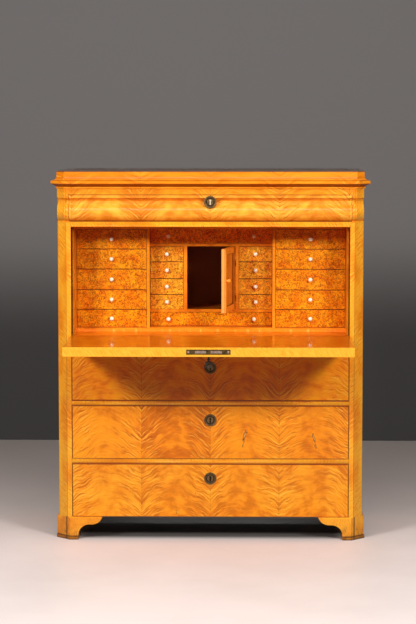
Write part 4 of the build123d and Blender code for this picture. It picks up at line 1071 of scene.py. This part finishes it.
def rosetteMesh(name):
    said, turns = rosetteSet, fullTurn(rosetteSet["around"])
    built = bmesh.new()
    wearAndKeyhole = built.verts.layers.float.new("wearAndKeyhole")

    def ring(reaches, height, wear, middle=0.0):
        line = []
        for turn, reach in zip(turns, reaches):
            point = built.verts.new((reach * math.sin(turn), middle + reach * math.cos(turn), height))
            point[wearAndKeyhole] = wear
            line.append(point)
        return line

    def toKeyhole(turn):
        # how far from the heart the keyhole's edge lies in one direction
        reach, least, step = said["search"]
        while reach > least and not inKeyhole(reach * math.sin(turn), said["heart"] + reach * math.cos(turn)):
            reach -= step
        return reach

    keyhole = [toKeyhole(turn) for turn in turns]
    rings = [
        ring([radius] * len(turns), height, min(1.0, height / said["bossHeight"]))
        for radius, height in said["profile"]
    ]
    inner = ring(keyhole, said["bossHeight"], 1.0, said["heart"])
    # the keyhole's well carries -1, which the brass paints as the keyhole: black painted shade, pale painted
    # glint on the head drawer
    well = ring(keyhole, said["wellHeight"], -1.0, said["heart"])
    rings += [inner, well]
    centre = built.verts.new((0, said["heart"], said["wellHeight"]))
    centre[wearAndKeyhole] = -1.0
    for k in range(len(turns)):
        n = (k + 1) % len(turns)
        for below, above in zip(rings, rings[1:]):
            face = built.faces.new((below[k], below[n], above[n], above[k]))
            face.smooth = above is not inner and above is not well
        built.faces.new((well[k], well[n], centre))
    return plainMesh(built, name)


def wornBrass(name, keyholePaint):
    material, tree, shader = plainMaterial(name, "#8A7048", 0.4)
    wear = tree.nodes.new("ShaderNodeAttribute")
    wear.attribute_name = "wearAndKeyhole"
    wearAndKeyhole = wear.outputs["Fac"]
    cloud = noise(tree, objectSpot(tree), 150.0, 4, 0.6)
    mask = times(tree, span(tree, wearAndKeyhole, 0.55, 0.95), span(tree, cloud, 0.25, 0.6, 0.35, 1.0))
    # the keyhole is painted: black as painted shade on most plates, pale as a painted glint on the head
    # drawer's
    colour = layered(tree, tint("#1A110A"), (mask, "#7E6440"), (span(tree, wearAndKeyhole, -0.6, 0.0, 1.0, 0.0), keyholePaint))
    paint(shader, colour)
    paint(shader, span(tree, cloud, 0.3, 0.7, 0.34, 0.55, "LINEAR"), "Roughness")
    shader.inputs["Metallic"].default_value = 0.8
    addBump(tree, shader, cloud, 0.25, 0.0003)
    return material


def placed(name, mesh, matrix, material, body):
    copy = mesh.copy()
    copy.name = name
    copy.transform(matrix)
    copy.materials.clear()
    copy.materials.append(material)
    piece = newPiece(name, copy)
    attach(piece, body)


plateMesh = rosetteMesh("escutcheonShape")
# the head drawer's keyhole is painted pale, as a painted glint
plateBrass, glintBrass = wornBrass("wornBrass", "#050302"), wornBrass("glintBrass", "#E4D8C0")
pearlMesh = turnedMesh("pearlShape", rosetteSet["pearl"], rosetteSet["pearlAround"])
wear = pearlMesh.attributes.new("wearAndKeyhole", "FLOAT", "POINT")
for number in range(len(pearlMesh.vertices)):
    wear.data[number].value = 1.0
upright = Matrix(((1, 0, 0), (0, 0, -1), (0, 1, 0))).to_4x4()  # plate's up is Z, its face looks to -Y
hanging = Matrix(((1, 0, 0), (0, -1, 0), (0, 0, -1))).to_4x4()  # its face looks down
plates = {
    "head_drawer": ((0, -0.0585, 1.291), upright), "top_drawer": ((0, -0.0445, 0.662), upright),
    "middle_drawer": ((0, -0.0445, 0.4605), upright), "bottom_drawer": ((0, -0.0445, 0.236), upright),
    "fall": ((0, -0.4045, 0.749), hanging),
}
for name, (place, turn) in plates.items():
    matrix = Matrix.Translation(place) @ turn
    brass = glintBrass if name == "head_drawer" else plateBrass
    placed(name + "_escutcheon", plateMesh, matrix, brass, name)
    spots = []
    for angle in fullTurn(rosetteSet["pearls"]):
        ring = rosetteSet["pearlRing"]
        at = matrix @ Vector((ring * math.sin(angle), ring * math.cos(angle), rosetteSet["pearlSeat"]))
        spots.append((tuple(at), (0, 0, -1) if name == "fall" else (0, -1, 0)))
    repeated(name + "_pearls", pearlMesh, spots, plateBrass, name)
print("escutcheons made")


# the screws of the fall's lock and the nails of the back boards

screwSet = {
    "profile": ((0.0042, 0.0), (0.0042, 0.0003), (0.0034, 0.0007), (0.0, 0.0008)), "around": 20,
    "places": [((x, -0.4555, 0.766), (0, -1, 0)) for x in (-0.072, 0.072)],
    "boards": 6, "nailSide": 0.03, "nailEnd": 0.02,
}
screwMesh = turnedMesh("screwShape", screwSet["profile"], screwSet["around"])
repeated("selvage_screws", screwMesh, screwSet["places"], steel, "fall")
(boardLeft, _, boardLow), (boardRight, boardBack, boardHigh) = corners("back_boards")
boards, inset, end = screwSet["boards"], screwSet["nailSide"], screwSet["nailEnd"]
step = (boardRight - boardLeft) / boards
nails = [
    ((boardLeft + step * number + side, boardBack, up), (0, 1, 0))
    for number in range(boards) for side in (inset, step - inset)
    for up in (boardLow + end, (boardLow + boardHigh) / 2, boardHigh - end)
]
repeated("back_nails", screwMesh, nails, iron, "case")
print("screws and nails set")
